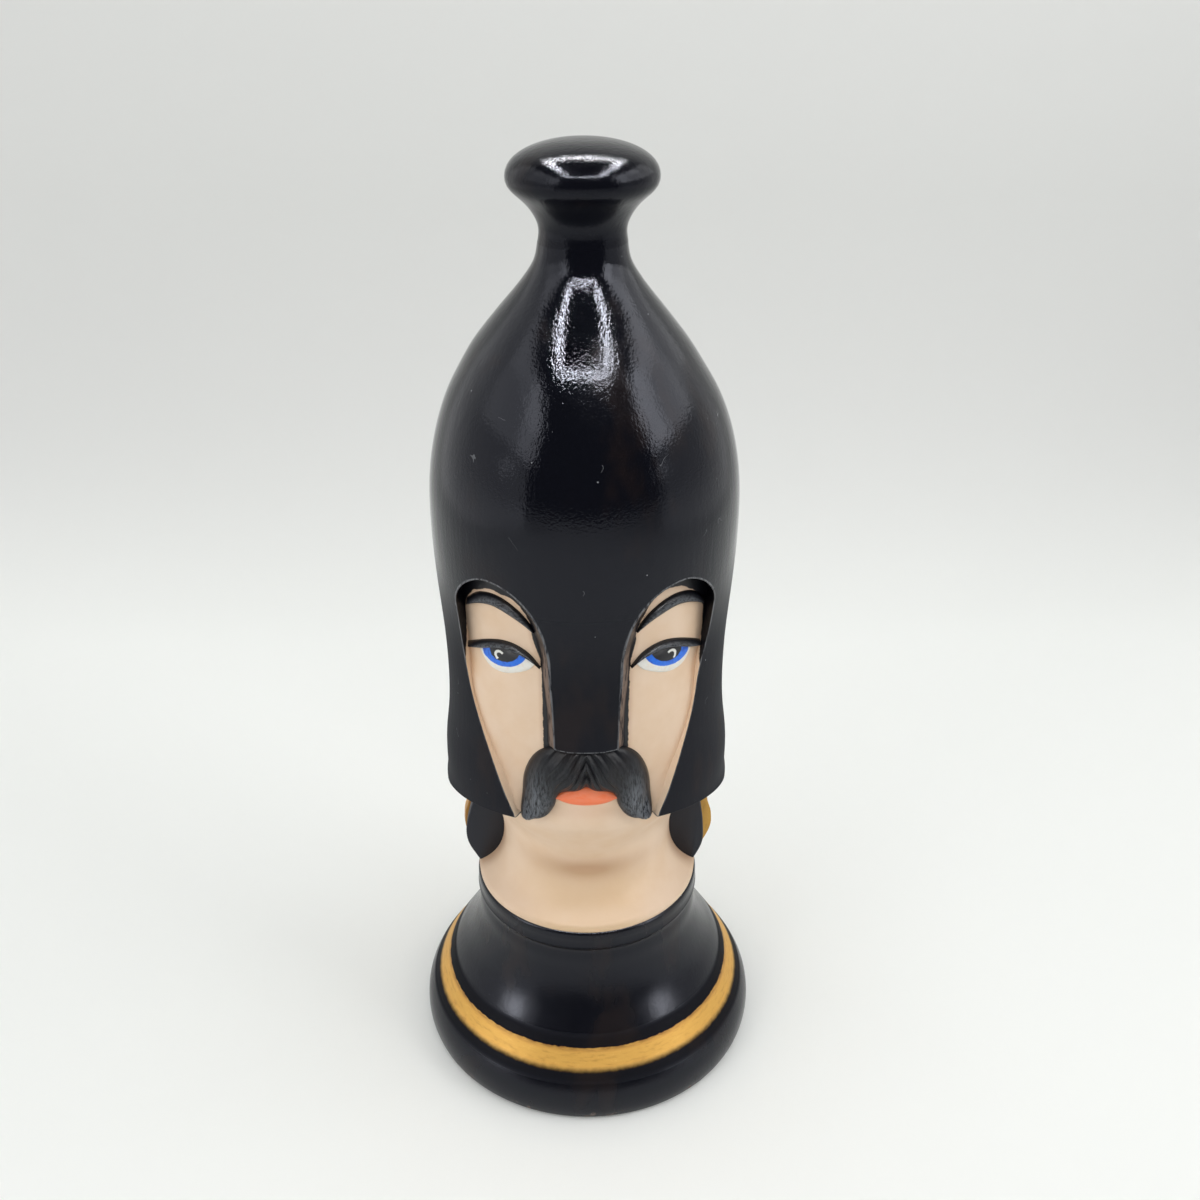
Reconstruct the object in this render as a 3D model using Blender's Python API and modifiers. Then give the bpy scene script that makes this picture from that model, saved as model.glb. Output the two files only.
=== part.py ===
"""Figural chess pawn: a moustached soldier's head in a tall helmet, on a bell base.

Metres, +Z up, the face looks towards -Y, and the felt stands on z = 0. Every piece is built round the
piece that carries it, so one changed size moves all that sits on it.
"""
import math

import bmesh
import bpy
from mathutils import Vector
from mathutils.geometry import interpolate_bezier

MM = 0.001

# Fits and facets
SEAT_GAP = 0.3 * MM
TURN_STEPS = 44
CURVE_STEPS = 6

# Base, from the felt upwards
FELT_THICKNESS = 1.2 * MM
FELT_PROUD = 0.4 * MM
FELT_RIM = 2.6 * MM
FOOT_HEIGHT = 7.3 * MM
FOOT_BULGE = 2.0 * MM
FOOT_TUCK = 0.3 * MM
FOOT_WALL = 6.0 * MM
BAND_HEIGHT = 2.6 * MM
BAND_FLARE = 1.7 * MM
BAND_DEPTH = 1.2 * MM
BAND_CROWN = 0.25 * MM
BELL_HEIGHT = 14.1 * MM
BELL_FLARE = 5.2 * MM
COLLAR_HEIGHT = 2.7 * MM
COLLAR_WALL = 3.8 * MM
COLLAR_CREASE = 0.3 * MM
COLLAR_ROUND = 0.5 * MM
LEDGE_THICKNESS = 3.0 * MM
LEDGE_WIDTH = 2.8 * MM
BALLAST_DROP = 2.0 * MM

# Head and neck
SPIGOT_RADIUS = 12.2 * MM
SPIGOT_LENGTH = 8.2 * MM
SPIGOT_WALL = 3.5 * MM
SHOULDER_STEP = 0.2 * MM
NECK_RADIUS = 12.2 * MM
NECK_HEIGHT = 7.2 * MM
JAW_HEIGHT = 14.4 * MM
FACE_RADIUS = 17.0 * MM
HEAD_WALL = 4.0 * MM
CRANIUM_HEIGHT = 17.5 * MM

# Helmet
HEM_RISE = 7.6 * MM
HEM_LIP = 1.0 * MM
HEM_WALL = 2.4 * MM
HEM_SLOPE = math.radians(15.0)
CHEEK_TIP_DROP = 0.1 * MM
WAIST_RISE = 13.6 * MM
WAIST_WALL = 1.45 * MM
BULGE_RISE = 3.6 * MM
BULGE_WALL = 2.48 * MM
DOME_HEIGHT = 32.8 * MM
CROWN_RADIUS = 5.3 * MM

# Face opening of the helmet
NASAL_RISE = 10.7 * MM
NASAL_HALF_WIDTH = 4.05 * MM
NASAL_SPREAD = 0.3 * MM
EYE_RISE = 21.4 * MM
ARCH_RISE = 11.7 * MM
ARCH_OFFSET = 4.2 * MM
OPENING_MARGIN = 1.1 * MM
CHEEK_TAPER = 6.3 * MM

# Finial
TENON_RADIUS = 2.4 * MM
TENON_LENGTH = 8.0 * MM
STEM_RADIUS = 5.15 * MM
STEM_HEIGHT = 2.2 * MM
KNOB_RADIUS = 8.9 * MM
KNOB_HEIGHT = 9.0 * MM

# Neck curtain and the flaps at its two ends
CURTAIN_ROLL = 6.2 * MM
CURTAIN_WAVE = 5.4 * MM
FLAP_THICKNESS = 1.8 * MM
FLAP_FORWARD = 1.2 * MM

# Sprigged reliefs of the face
BROW_WIDTH = 1.5 * MM
BROW_DEPTH = 0.8 * MM
LID_WIDTH = 1.3 * MM
LID_DEPTH = 0.8 * MM
EYE_WIDTH = 3.4 * MM
EYE_DEPTH = 0.45 * MM
LIP_WIDTH = 2.6 * MM
LIP_DEPTH = 0.9 * MM
LIP_MARGIN = 2.8 * MM
MOUSTACHE_WIDTH = 4.9 * MM
MOUSTACHE_DEPTH = 1.7 * MM
MOUSTACHE_MARGIN = 2.6 * MM
MOUSTACHE_DROP = 8.0 * MM

# Levels, stacked from the felt
BASE_BOTTOM = FELT_PROUD
FELT_SEAT = FELT_THICKNESS + SEAT_GAP
BAND_BOTTOM = BASE_BOTTOM + FOOT_HEIGHT
BAND_TOP = BAND_BOTTOM + BAND_HEIGHT
COLLAR_BOTTOM = BAND_TOP + BELL_HEIGHT
COLLAR_TOP = COLLAR_BOTTOM + COLLAR_HEIGHT
NECK_BOTTOM = COLLAR_TOP + SEAT_GAP
SPIGOT_BOTTOM = NECK_BOTTOM - SPIGOT_LENGTH
LEDGE_TOP = SPIGOT_BOTTOM - SEAT_GAP
LEDGE_BOTTOM = LEDGE_TOP - LEDGE_THICKNESS
THROAT = NECK_BOTTOM + NECK_HEIGHT
JAW = THROAT + JAW_HEIGHT
HEM = THROAT + HEM_RISE
NASAL_BOTTOM = JAW + NASAL_RISE
EYE_LINE = JAW + EYE_RISE
ARCH_TOP = EYE_LINE + ARCH_RISE
WAIST = JAW + WAIST_RISE
BULGE = ARCH_TOP + BULGE_RISE
CRANIUM_TOP = BULGE + CRANIUM_HEIGHT
CROWN = BULGE + DOME_HEIGHT
STEM_BOTTOM = CROWN + SEAT_GAP
KNOB_BOTTOM = STEM_BOTTOM + STEM_HEIGHT
KNOB_TOP = KNOB_BOTTOM + KNOB_HEIGHT

# Radii that follow from the pieces inside
SOCKET_RADIUS = SPIGOT_RADIUS + SEAT_GAP
COLLAR_RADIUS = SOCKET_RADIUS + COLLAR_WALL
SHOULDER_RADIUS = COLLAR_RADIUS - SHOULDER_STEP
BAND_TOP_RADIUS = COLLAR_RADIUS + BELL_FLARE
BAND_BOTTOM_RADIUS = BAND_TOP_RADIUS + BAND_FLARE
FOOT_RADIUS = BAND_BOTTOM_RADIUS + FOOT_BULGE
CAVITY_RADIUS = FACE_RADIUS + SEAT_GAP
HEM_RADIUS = CAVITY_RADIUS + HEM_WALL
WAIST_RADIUS = CAVITY_RADIUS + WAIST_WALL
BULGE_RADIUS = CAVITY_RADIUS + BULGE_WALL

# Widths of the face that keep to its radius
OPENING_HALF_WIDTH = FACE_RADIUS - OPENING_MARGIN
CHEEK_HALF_WIDTH = OPENING_HALF_WIDTH - CHEEK_TAPER
MOUSTACHE_HALF_SPAN = CHEEK_HALF_WIDTH - MOUSTACHE_MARGIN
LIP_HALF_LENGTH = MOUSTACHE_HALF_SPAN - LIP_MARGIN


def between(low, high, share):
    """The value at a share of the way from low to high."""
    return low + (high - low) * share


def bezier(start, start_handle, end_handle, end, steps=CURVE_STEPS):
    """Points of one Bezier stretch in a plane, without its end point."""
    knots = [Vector((*point, 0.0)) for point in (start, start_handle, end_handle, end)]
    return [(point.x, point.y) for point in interpolate_bezier(*knots, steps + 1)[:-1]]


def offset(outline, distance):
    """An outline that runs downwards, moved outwards by a distance along its normals."""
    moved = []
    last = len(outline) - 1
    for index, (radius, height) in enumerate(outline):
        before = Vector(outline[max(index - 1, 0)])
        after = Vector(outline[min(index + 1, last)])
        run = (after - before).normalized()
        shifted = radius - run.y * distance if radius > 0.0 else 0.0
        rise = distance if radius == 0.0 else run.x * distance
        moved.append((shifted, height + rise))
    return moved


def radius_at(outline, height):
    """Radius of a downward outline at a height."""
    for (upper_radius, upper), (lower_radius, lower) in zip(outline, outline[1:]):
        if lower <= height <= upper and upper > lower:
            return between(lower_radius, upper_radius, (height - lower) / (upper - lower))
    return outline[-1][0]


# Outlines that two or more pieces share
def skull_outline():
    """Face and cranium, from the crown of the head down to the jaw."""
    shoulder = BULGE
    return [
        *bezier((0.0, CRANIUM_TOP), (0.62 * FACE_RADIUS, CRANIUM_TOP),
                (FACE_RADIUS, between(shoulder, CRANIUM_TOP, 0.5)), (FACE_RADIUS, shoulder), 7),
        (FACE_RADIUS, shoulder),
        (FACE_RADIUS, EYE_LINE),
        (FACE_RADIUS, NASAL_BOTTOM),
        (FACE_RADIUS, JAW),
    ]


def neck_outline():
    """Jaw, throat and the flare of the neck, down to the shoulder that sits on the collar."""
    return [
        *bezier((FACE_RADIUS, JAW), (FACE_RADIUS, between(THROAT, JAW, 0.62)),
                (NECK_RADIUS, between(THROAT, JAW, 0.5)), (NECK_RADIUS, THROAT), 7),
        *bezier((NECK_RADIUS, THROAT), (NECK_RADIUS, between(NECK_BOTTOM, THROAT, 0.45)),
                (between(NECK_RADIUS, SHOULDER_RADIUS, 0.5), between(NECK_BOTTOM, THROAT, 0.2)),
                (SHOULDER_RADIUS, NECK_BOTTOM + COLLAR_ROUND)),
        (SHOULDER_RADIUS, NECK_BOTTOM + COLLAR_ROUND),
    ]


def base_hollow():
    """Inside of the bell, from the ledge under the socket down to the rim of the foot."""
    top_radius = SOCKET_RADIUS - LEDGE_WIDTH
    mouth_radius = FOOT_RADIUS - FOOT_WALL
    mouth_top = between(FELT_SEAT, BAND_BOTTOM, 0.55)
    return [
        *bezier((top_radius, LEDGE_BOTTOM), (top_radius, between(mouth_top, LEDGE_BOTTOM, 0.6)),
                (between(top_radius, mouth_radius, 0.6), between(mouth_top, LEDGE_BOTTOM, 0.35)),
                (mouth_radius, mouth_top)),
        (mouth_radius, mouth_top),
        (mouth_radius, FELT_SEAT),
    ]


def opening_outline():
    """Face opening seen from the front, as (x, z): two arched eye holes joined below the nasal guard."""
    arch_x = OPENING_HALF_WIDTH - ARCH_OFFSET
    cheek_foot = HEM - 2.0 * HEM_WALL
    temple = between(EYE_LINE, ARCH_TOP, 0.43)
    nasal_top = between(NASAL_BOTTOM, ARCH_TOP, 0.57)
    nasal_root = NASAL_HALF_WIDTH + NASAL_SPREAD
    side = [
        (CHEEK_HALF_WIDTH - 0.25 * (JAW - cheek_foot), cheek_foot),
        *bezier((CHEEK_HALF_WIDTH, JAW),
                (between(CHEEK_HALF_WIDTH, OPENING_HALF_WIDTH, 0.32), between(JAW, temple, 0.19)),
                (between(CHEEK_HALF_WIDTH, OPENING_HALF_WIDTH, 0.9), between(JAW, temple, 0.77)),
                (OPENING_HALF_WIDTH, temple)),
        *bezier((OPENING_HALF_WIDTH, temple), (OPENING_HALF_WIDTH, between(temple, ARCH_TOP, 0.6)),
                (between(arch_x, OPENING_HALF_WIDTH, 0.6), ARCH_TOP), (arch_x, ARCH_TOP)),
        *bezier((arch_x, ARCH_TOP), (between(nasal_root, arch_x, 0.56), ARCH_TOP),
                (between(nasal_root, arch_x, 0.12), between(nasal_top, ARCH_TOP, 0.71)),
                (nasal_root, nasal_top)),
        (nasal_root, nasal_top),
        (NASAL_HALF_WIDTH, NASAL_BOTTOM),
    ]
    return side + [(-x, z) for x, z in reversed(side)]


# Modelling tools
def new_collection(name):
    """A collection in the scene."""
    collection = bpy.data.collections.new(name)
    bpy.context.scene.collection.children.link(collection)
    return collection


def finish_material(name, colour, roughness, metallic=0.0):
    """A plain Principled finish."""
    material = bpy.data.materials.new(name)
    material.use_nodes = True
    shader = material.node_tree.nodes["Principled BSDF"]
    shader.inputs["Base Color"].default_value = (*colour, 1.0)
    shader.inputs["Roughness"].default_value = roughness
    shader.inputs["Metallic"].default_value = metallic
    return material


def add_piece(name, mesh, material):
    """A named sub-part under the pawn's empty."""
    piece = bpy.data.objects.new(name, mesh)
    piece.data.materials.append(material)
    parts.objects.link(piece)
    piece.parent = pawn
    return piece


def add_cutter(name, mesh):
    """A shape that only trims other pieces."""
    cutter = bpy.data.objects.new(name, mesh)
    cutters.objects.link(cutter)
    cutter.hide_render = True
    cutter.display_type = 'WIRE'
    return cutter


def profile_mesh(name, outline, closed):
    """An outline of (radius, height) as a wire at +X."""
    wire = bmesh.new()
    corners = [wire.verts.new((radius, 0.0, height)) for radius, height in outline]
    for first, second in zip(corners, corners[1:]):
        wire.edges.new((first, second))
    if closed:
        wire.edges.new((corners[-1], corners[0]))
    mesh = bpy.data.meshes.new(name)
    wire.to_mesh(mesh)
    wire.free()
    return mesh


def turn(piece):
    """Sweep a piece's profile once round the axis."""
    screw = piece.modifiers.new("turn", 'SCREW')
    screw.steps = TURN_STEPS
    screw.render_steps = TURN_STEPS
    screw.use_merge_vertices = True
    screw.merge_threshold = 0.001 * MM
    screw.use_smooth_shade = True
    return piece


def turned(name, outline, material, closed=False):
    """A turned sub-part. Its outline runs down the outer side."""
    return turn(add_piece(name, profile_mesh(name, outline, closed), material))


def box_cutter(name, low, high, tilt=0.0, pivot=(0.0, 0.0, 0.0)):
    """A block between two corners, tilted about the X axis through a pivot."""
    block = bmesh.new()
    bmesh.ops.create_cube(block, size=1.0)
    size = Vector(high) - Vector(low)
    middle = (Vector(high) + Vector(low)) / 2.0
    bmesh.ops.scale(block, vec=size, verts=block.verts)
    bmesh.ops.translate(block, vec=middle, verts=block.verts)
    mesh = bpy.data.meshes.new(name)
    block.to_mesh(mesh)
    block.free()
    cutter = add_cutter(name, mesh)
    cutter.location = pivot
    cutter.rotation_euler.x = tilt
    return cutter


def curve_to_mesh(curve_object):
    """The mesh of a curve object, with its caps welded on, in place of the curve."""
    bpy.context.view_layer.update()
    evaluated = curve_object.evaluated_get(bpy.context.evaluated_depsgraph_get())
    mesh = bpy.data.meshes.new_from_object(evaluated)
    mesh.transform(curve_object.matrix_world)
    weld = bmesh.new()
    weld.from_mesh(mesh)
    bmesh.ops.remove_doubles(weld, verts=weld.verts, dist=0.001 * MM)
    weld.to_mesh(mesh)
    weld.free()
    curve = curve_object.data
    bpy.data.objects.remove(curve_object)
    bpy.data.curves.remove(curve)
    return mesh


def front_prism(name, outline, near, far):
    """An outline in the front plane, run through from one depth to another."""
    curve = bpy.data.curves.new(name, 'CURVE')
    curve.dimensions = '2D'
    curve.fill_mode = 'BOTH'
    curve.extrude = (far - near) / 2.0
    spline = curve.splines.new('POLY')
    spline.points.add(len(outline) - 1)
    for point, (x, z) in zip(spline.points, outline):
        point.co = (x, z, 0.0, 1.0)
    spline.use_cyclic_u = True
    holder = bpy.data.objects.new(name, curve)
    cutters.objects.link(holder)
    holder.rotation_euler.x = math.radians(90.0)
    holder.location.y = (far + near) / 2.0
    return add_cutter(name, curve_to_mesh(holder))


def cut(piece, cutter, operation='DIFFERENCE'):
    """Trim a piece with a cutter."""
    boolean = piece.modifiers.new(operation.lower(), 'BOOLEAN')
    boolean.solver = 'EXACT'
    boolean.operation = operation
    boolean.object = cutter


def sprig(name, spine, widths, depth, material, sides=3):
    """A tapered relief strip, domed in front, laid round the face along a spine of (x, z) points."""
    curve = bpy.data.curves.new(name, 'CURVE')
    curve.dimensions = '3D'
    curve.bevel_depth = 1.0
    curve.bevel_resolution = sides
    curve.use_fill_caps = True
    spline = curve.splines.new('POLY')
    spline.points.add(len(spine) - 1)
    for point, (x, z), width in zip(spline.points, spine, widths):
        point.co = (x, 0.0, z, 1.0)
        point.radius = width / 2.0
    holder = bpy.data.objects.new(name, curve)
    cutters.objects.link(holder)
    mesh = curve_to_mesh(holder)
    widest = max(widths) / 2.0
    face = skull_outline()[:-1] + neck_outline()
    for vertex in mesh.vertices:
        x, toward_back, z = vertex.co
        raised = max(-toward_back, 0.0) * depth / widest
        seat = radius_at(face, z) + SEAT_GAP
        angle = x / (FACE_RADIUS + SEAT_GAP)
        vertex.co = ((seat + raised) * math.sin(angle), -(seat + raised) * math.cos(angle), z)
    return add_piece(name, mesh, material)


def around(x):
    """Length along the face of a point that lies x to the side of its middle."""
    return math.asin(x / (FACE_RADIUS + SEAT_GAP)) * (FACE_RADIUS + SEAT_GAP)


def mirrored(points):
    """The same points on the other side."""
    return [(-x, z) for x, z in points]


def taper(count, widest, ends, peak=0.5):
    """Widths that swell from the ends of a strip to its peak."""
    widths = []
    for index in range(count):
        along = index / (count - 1)
        share = along / peak if along < peak else (1.0 - along) / (1.0 - peak)
        widths.append(between(ends, widest, math.sin(share * math.pi / 2.0)))
    return widths


# Base
def make_felt():
    radius = FOOT_RADIUS - FOOT_TUCK - FELT_RIM - SEAT_GAP
    outline = [(0.0, FELT_THICKNESS), (radius, FELT_THICKNESS), (radius, 0.0), (0.0, 0.0)]
    turned("felt_pad", outline, green_felt)


def make_base():
    foot_widest = between(BASE_BOTTOM, BAND_BOTTOM, 0.25)
    foot_edge = FOOT_RADIUS - FOOT_TUCK
    crease_radius = COLLAR_RADIUS - COLLAR_CREASE
    seat_top = BAND_TOP + SEAT_GAP
    seat_bottom = BAND_BOTTOM - SEAT_GAP
    seat_depth = BAND_DEPTH + SEAT_GAP
    outline = [
        (SOCKET_RADIUS - LEDGE_WIDTH, LEDGE_TOP),
        (SOCKET_RADIUS, LEDGE_TOP),
        (SOCKET_RADIUS, COLLAR_TOP),
        (COLLAR_RADIUS - COLLAR_ROUND, COLLAR_TOP),
        (COLLAR_RADIUS, COLLAR_TOP - COLLAR_ROUND),
        (COLLAR_RADIUS, between(COLLAR_BOTTOM, COLLAR_TOP, 0.15)),
        *bezier((crease_radius, COLLAR_BOTTOM), (crease_radius, between(seat_top, COLLAR_BOTTOM, 0.66)),
                (between(crease_radius, BAND_TOP_RADIUS, 0.26), between(seat_top, COLLAR_BOTTOM, 0.36)),
                (BAND_TOP_RADIUS, seat_top), 7),
        (BAND_TOP_RADIUS, seat_top),
        (BAND_TOP_RADIUS - seat_depth, seat_top),
        (BAND_BOTTOM_RADIUS - seat_depth, seat_bottom),
        *bezier((BAND_BOTTOM_RADIUS, seat_bottom),
                (between(BAND_BOTTOM_RADIUS, FOOT_RADIUS, 0.55), between(foot_widest, seat_bottom, 0.7)),
                (FOOT_RADIUS, between(foot_widest, seat_bottom, 0.45)), (FOOT_RADIUS, foot_widest), 5),
        (FOOT_RADIUS, foot_widest),
        (between(foot_edge, FOOT_RADIUS, 0.7), between(BASE_BOTTOM, foot_widest, 0.4)),
        (foot_edge, BASE_BOTTOM),
        (foot_edge - FELT_RIM, BASE_BOTTOM),
        (foot_edge - FELT_RIM, FELT_SEAT),
        *reversed(base_hollow()),
    ]
    turned("base_foot", outline, black_glaze, closed=True)


def make_ballast():
    side = [(radius, height) for radius, height in offset(base_hollow(), -SEAT_GAP)
            if height < LEDGE_BOTTOM - BALLAST_DROP]
    top = LEDGE_BOTTOM - BALLAST_DROP
    radius_top = radius_at(offset(base_hollow(), -SEAT_GAP), top)
    outline = [(0.0, top), (radius_top, top), *side[:-1], (side[-1][0], FELT_SEAT), (0.0, FELT_SEAT)]
    turned("ballast_weight", outline, white_plaster)


def make_band():
    middle_radius = between(BAND_TOP_RADIUS, BAND_BOTTOM_RADIUS, 0.5) + BAND_CROWN
    middle = (middle_radius, between(BAND_BOTTOM, BAND_TOP, 0.55))
    outline = [
        *bezier((BAND_TOP_RADIUS, BAND_TOP), middle, middle, (BAND_BOTTOM_RADIUS, BAND_BOTTOM), 4),
        (BAND_BOTTOM_RADIUS, BAND_BOTTOM),
        (BAND_BOTTOM_RADIUS - BAND_DEPTH, BAND_BOTTOM),
        (BAND_TOP_RADIUS - BAND_DEPTH, BAND_TOP),
    ]
    turned("gold_band", outline, gilding, closed=True)


# Head
def make_head():
    bore = SPIGOT_RADIUS - SPIGOT_WALL
    room = FACE_RADIUS - HEAD_WALL
    room_floor = between(THROAT, JAW, 0.7)
    outline = [
        *skull_outline()[:-1],
        *neck_outline(),
        (SHOULDER_RADIUS, NECK_BOTTOM),
        (SPIGOT_RADIUS, NECK_BOTTOM),
        (SPIGOT_RADIUS, SPIGOT_BOTTOM),
        (bore, SPIGOT_BOTTOM),
        (bore, between(THROAT, room_floor, 0.4)),
        (room, JAW),
        (room, BULGE),
        (between(bore, room, 0.4), CRANIUM_TOP - 2.0 * HEAD_WALL),
        (0.0, CRANIUM_TOP - 1.5 * HEAD_WALL),
    ]
    turned("head", outline, flesh_paint)


# Helmet
def make_helmet():
    bore = TENON_RADIUS + SEAT_GAP
    bore_bottom = CROWN - TENON_LENGTH
    lip = CAVITY_RADIUS + HEM_LIP
    dome_turn = between(BULGE, CROWN, 0.62)
    dome_radius = between(CROWN_RADIUS, BULGE_RADIUS, 0.6)
    outline = [
        (0.0, bore_bottom),
        (bore, bore_bottom),
        (bore, CROWN),
        *bezier((CROWN_RADIUS, CROWN), (CROWN_RADIUS, between(BULGE, CROWN, 0.9)),
                (between(CROWN_RADIUS, dome_radius, 0.5), between(dome_turn, CROWN, 0.45)),
                (dome_radius, dome_turn)),
        *bezier((dome_radius, dome_turn),
                (between(dome_radius, BULGE_RADIUS, 0.6), between(BULGE, dome_turn, 0.72)),
                (BULGE_RADIUS, between(BULGE, dome_turn, 0.42)), (BULGE_RADIUS, BULGE)),
        *bezier((BULGE_RADIUS, BULGE), (BULGE_RADIUS, between(WAIST, BULGE, 0.55)),
                (WAIST_RADIUS, between(WAIST, BULGE, 0.4)), (WAIST_RADIUS, WAIST), 5),
        *bezier((WAIST_RADIUS, WAIST), (WAIST_RADIUS, between(JAW, WAIST, 0.4)),
                (HEM_RADIUS, between(JAW, WAIST, 0.35)), (HEM_RADIUS, JAW), 5),
        *bezier((HEM_RADIUS, JAW), (HEM_RADIUS, between(HEM, JAW, 0.35)),
                (between(lip, HEM_RADIUS, 0.75), HEM), (lip, HEM), 5),
        (lip, HEM),
        (CAVITY_RADIUS, HEM),
        *reversed(offset(skull_outline(), SEAT_GAP)),
    ]
    helmet = turned("helmet", outline, black_gloss)
    opening = front_prism("opening_cutter", opening_outline(), -2.0 * BULGE_RADIUS, -0.3 * BULGE_RADIUS)
    cut(helmet, opening)
    reach = 2.0 * BULGE_RADIUS
    pivot = (0.0, -HEM_RADIUS, JAW - CHEEK_TIP_DROP)
    trim = box_cutter("hem_cutter", (-reach, -reach, -reach), (reach, 1.5 * reach, 0.0),
                      -HEM_SLOPE, pivot)
    cut(helmet, trim)


def make_finial():
    rim = between(KNOB_BOTTOM, KNOB_TOP, 0.55)
    tenon_bottom = CROWN - TENON_LENGTH + SEAT_GAP
    outline = [
        *bezier((0.0, KNOB_TOP), (0.55 * KNOB_RADIUS, KNOB_TOP),
                (KNOB_RADIUS, between(rim, KNOB_TOP, 0.62)), (KNOB_RADIUS, rim), 5),
        *bezier((KNOB_RADIUS, rim), (KNOB_RADIUS, between(KNOB_BOTTOM, rim, 0.72)),
                (between(STEM_RADIUS, KNOB_RADIUS, 0.72), between(KNOB_BOTTOM, rim, 0.65)),
                (between(STEM_RADIUS, KNOB_RADIUS, 0.4), between(KNOB_BOTTOM, rim, 0.4)), 4),
        *bezier((between(STEM_RADIUS, KNOB_RADIUS, 0.4), between(KNOB_BOTTOM, rim, 0.4)),
                (between(STEM_RADIUS, KNOB_RADIUS, 0.12), between(KNOB_BOTTOM, rim, 0.15)),
                (STEM_RADIUS, between(STEM_BOTTOM, KNOB_BOTTOM, 0.9)),
                (STEM_RADIUS, between(STEM_BOTTOM, KNOB_BOTTOM, 0.5)), 3),
        (STEM_RADIUS, between(STEM_BOTTOM, KNOB_BOTTOM, 0.5)),
        (CROWN_RADIUS, STEM_BOTTOM),
        (TENON_RADIUS, STEM_BOTTOM),
        (TENON_RADIUS, tenon_bottom),
        (0.0, tenon_bottom),
    ]
    turned("finial_knob", outline, black_gloss)


# Neck curtain
def curtain_outline():
    """Section of the curtain: two soft rolls outside, the line of the neck inside."""
    top = between(THROAT, JAW, 0.72)
    hidden_radius = FACE_RADIUS - SEAT_GAP
    tip = (SHOULDER_RADIUS + SEAT_GAP, NECK_BOTTOM + 2.0 * SEAT_GAP)
    inner = [(radius, height) for radius, height in offset(neck_outline(), SEAT_GAP)
             if tip[1] + SEAT_GAP < height < top]
    inner_top = (radius_at(offset(neck_outline(), SEAT_GAP), top), top)
    roll = (NECK_RADIUS + CURTAIN_ROLL, between(NECK_BOTTOM, THROAT, 0.78))
    wave = (NECK_RADIUS + CURTAIN_WAVE, between(THROAT, HEM, 0.66))
    dip = (between(wave[0], roll[0], 0.1), between(THROAT, HEM, 0.3))
    return [
        inner_top,
        (hidden_radius, top),
        (hidden_radius, HEM),
        wave,
        dip,
        *bezier(dip, (roll[0], between(roll[1], dip[1], 0.6)), roll, roll, 3),
        *bezier(roll, (roll[0], between(tip[1], roll[1], 0.7)),
                (between(tip[0], roll[0], 0.5), between(tip[1], roll[1], 0.3)), tip, 4),
        tip,
        *reversed(inner),
    ]


def make_curtain():
    reach = 2.0 * BULGE_RADIUS
    flap_back = FLAP_THICKNESS - FLAP_FORWARD
    section = curtain_outline()
    curtain = turned("neck_curtain", section, gilding, closed=True)
    front = box_cutter("curtain_cutter", (-reach, -reach, -reach), (reach, flap_back + SEAT_GAP, reach),
                       pivot=(0.0, 0.0, THROAT))
    cut(curtain, front)
    for side, name in ((-1.0, "side_flap_left"), (1.0, "side_flap_right")):
        flap = turned(name, section, black_glaze, closed=True)
        ends = sorted((0.0, side * reach))
        slice_box = box_cutter(name + "_cutter", (ends[0], -FLAP_FORWARD, -reach),
                               (ends[1], flap_back, reach), pivot=(0.0, 0.0, THROAT))
        cut(flap, slice_box, 'INTERSECT')


# Reliefs of the face
def make_moustache():
    top = NASAL_BOTTOM - SEAT_GAP - MOUSTACHE_WIDTH / 2.0
    reach = around(MOUSTACHE_HALF_SPAN)
    half = bezier((reach, top - MOUSTACHE_DROP), (reach, top - 0.5 * MOUSTACHE_DROP),
                  (0.95 * reach, top), (0.0, top), 14)
    spine = mirrored(half) + [(0.0, top)] + list(reversed(half))
    half_widths = []
    for index in range(len(half)):
        along = index / len(half)
        rounded = math.sqrt(1.0 - max(0.0, 0.95 - along / 0.16) ** 2)
        half_widths.append(MOUSTACHE_WIDTH * rounded * between(0.7, 1.0, along))
    widths = half_widths + [MOUSTACHE_WIDTH] + list(reversed(half_widths))
    sprig("moustache", spine, widths, MOUSTACHE_DEPTH, black_glaze, sides=4)


def make_lip():
    moustache_bottom = NASAL_BOTTOM - SEAT_GAP - MOUSTACHE_WIDTH
    corner = moustache_bottom - SEAT_GAP - LIP_WIDTH / 2.0
    steps = 8
    spine = [(around(LIP_HALF_LENGTH) * (2.0 * step / steps - 1.0), corner) for step in range(steps + 1)]
    sprig("lower_lip", spine, taper(len(spine), LIP_WIDTH, 0.25 * LIP_WIDTH), LIP_DEPTH, coral_paint)


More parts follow.
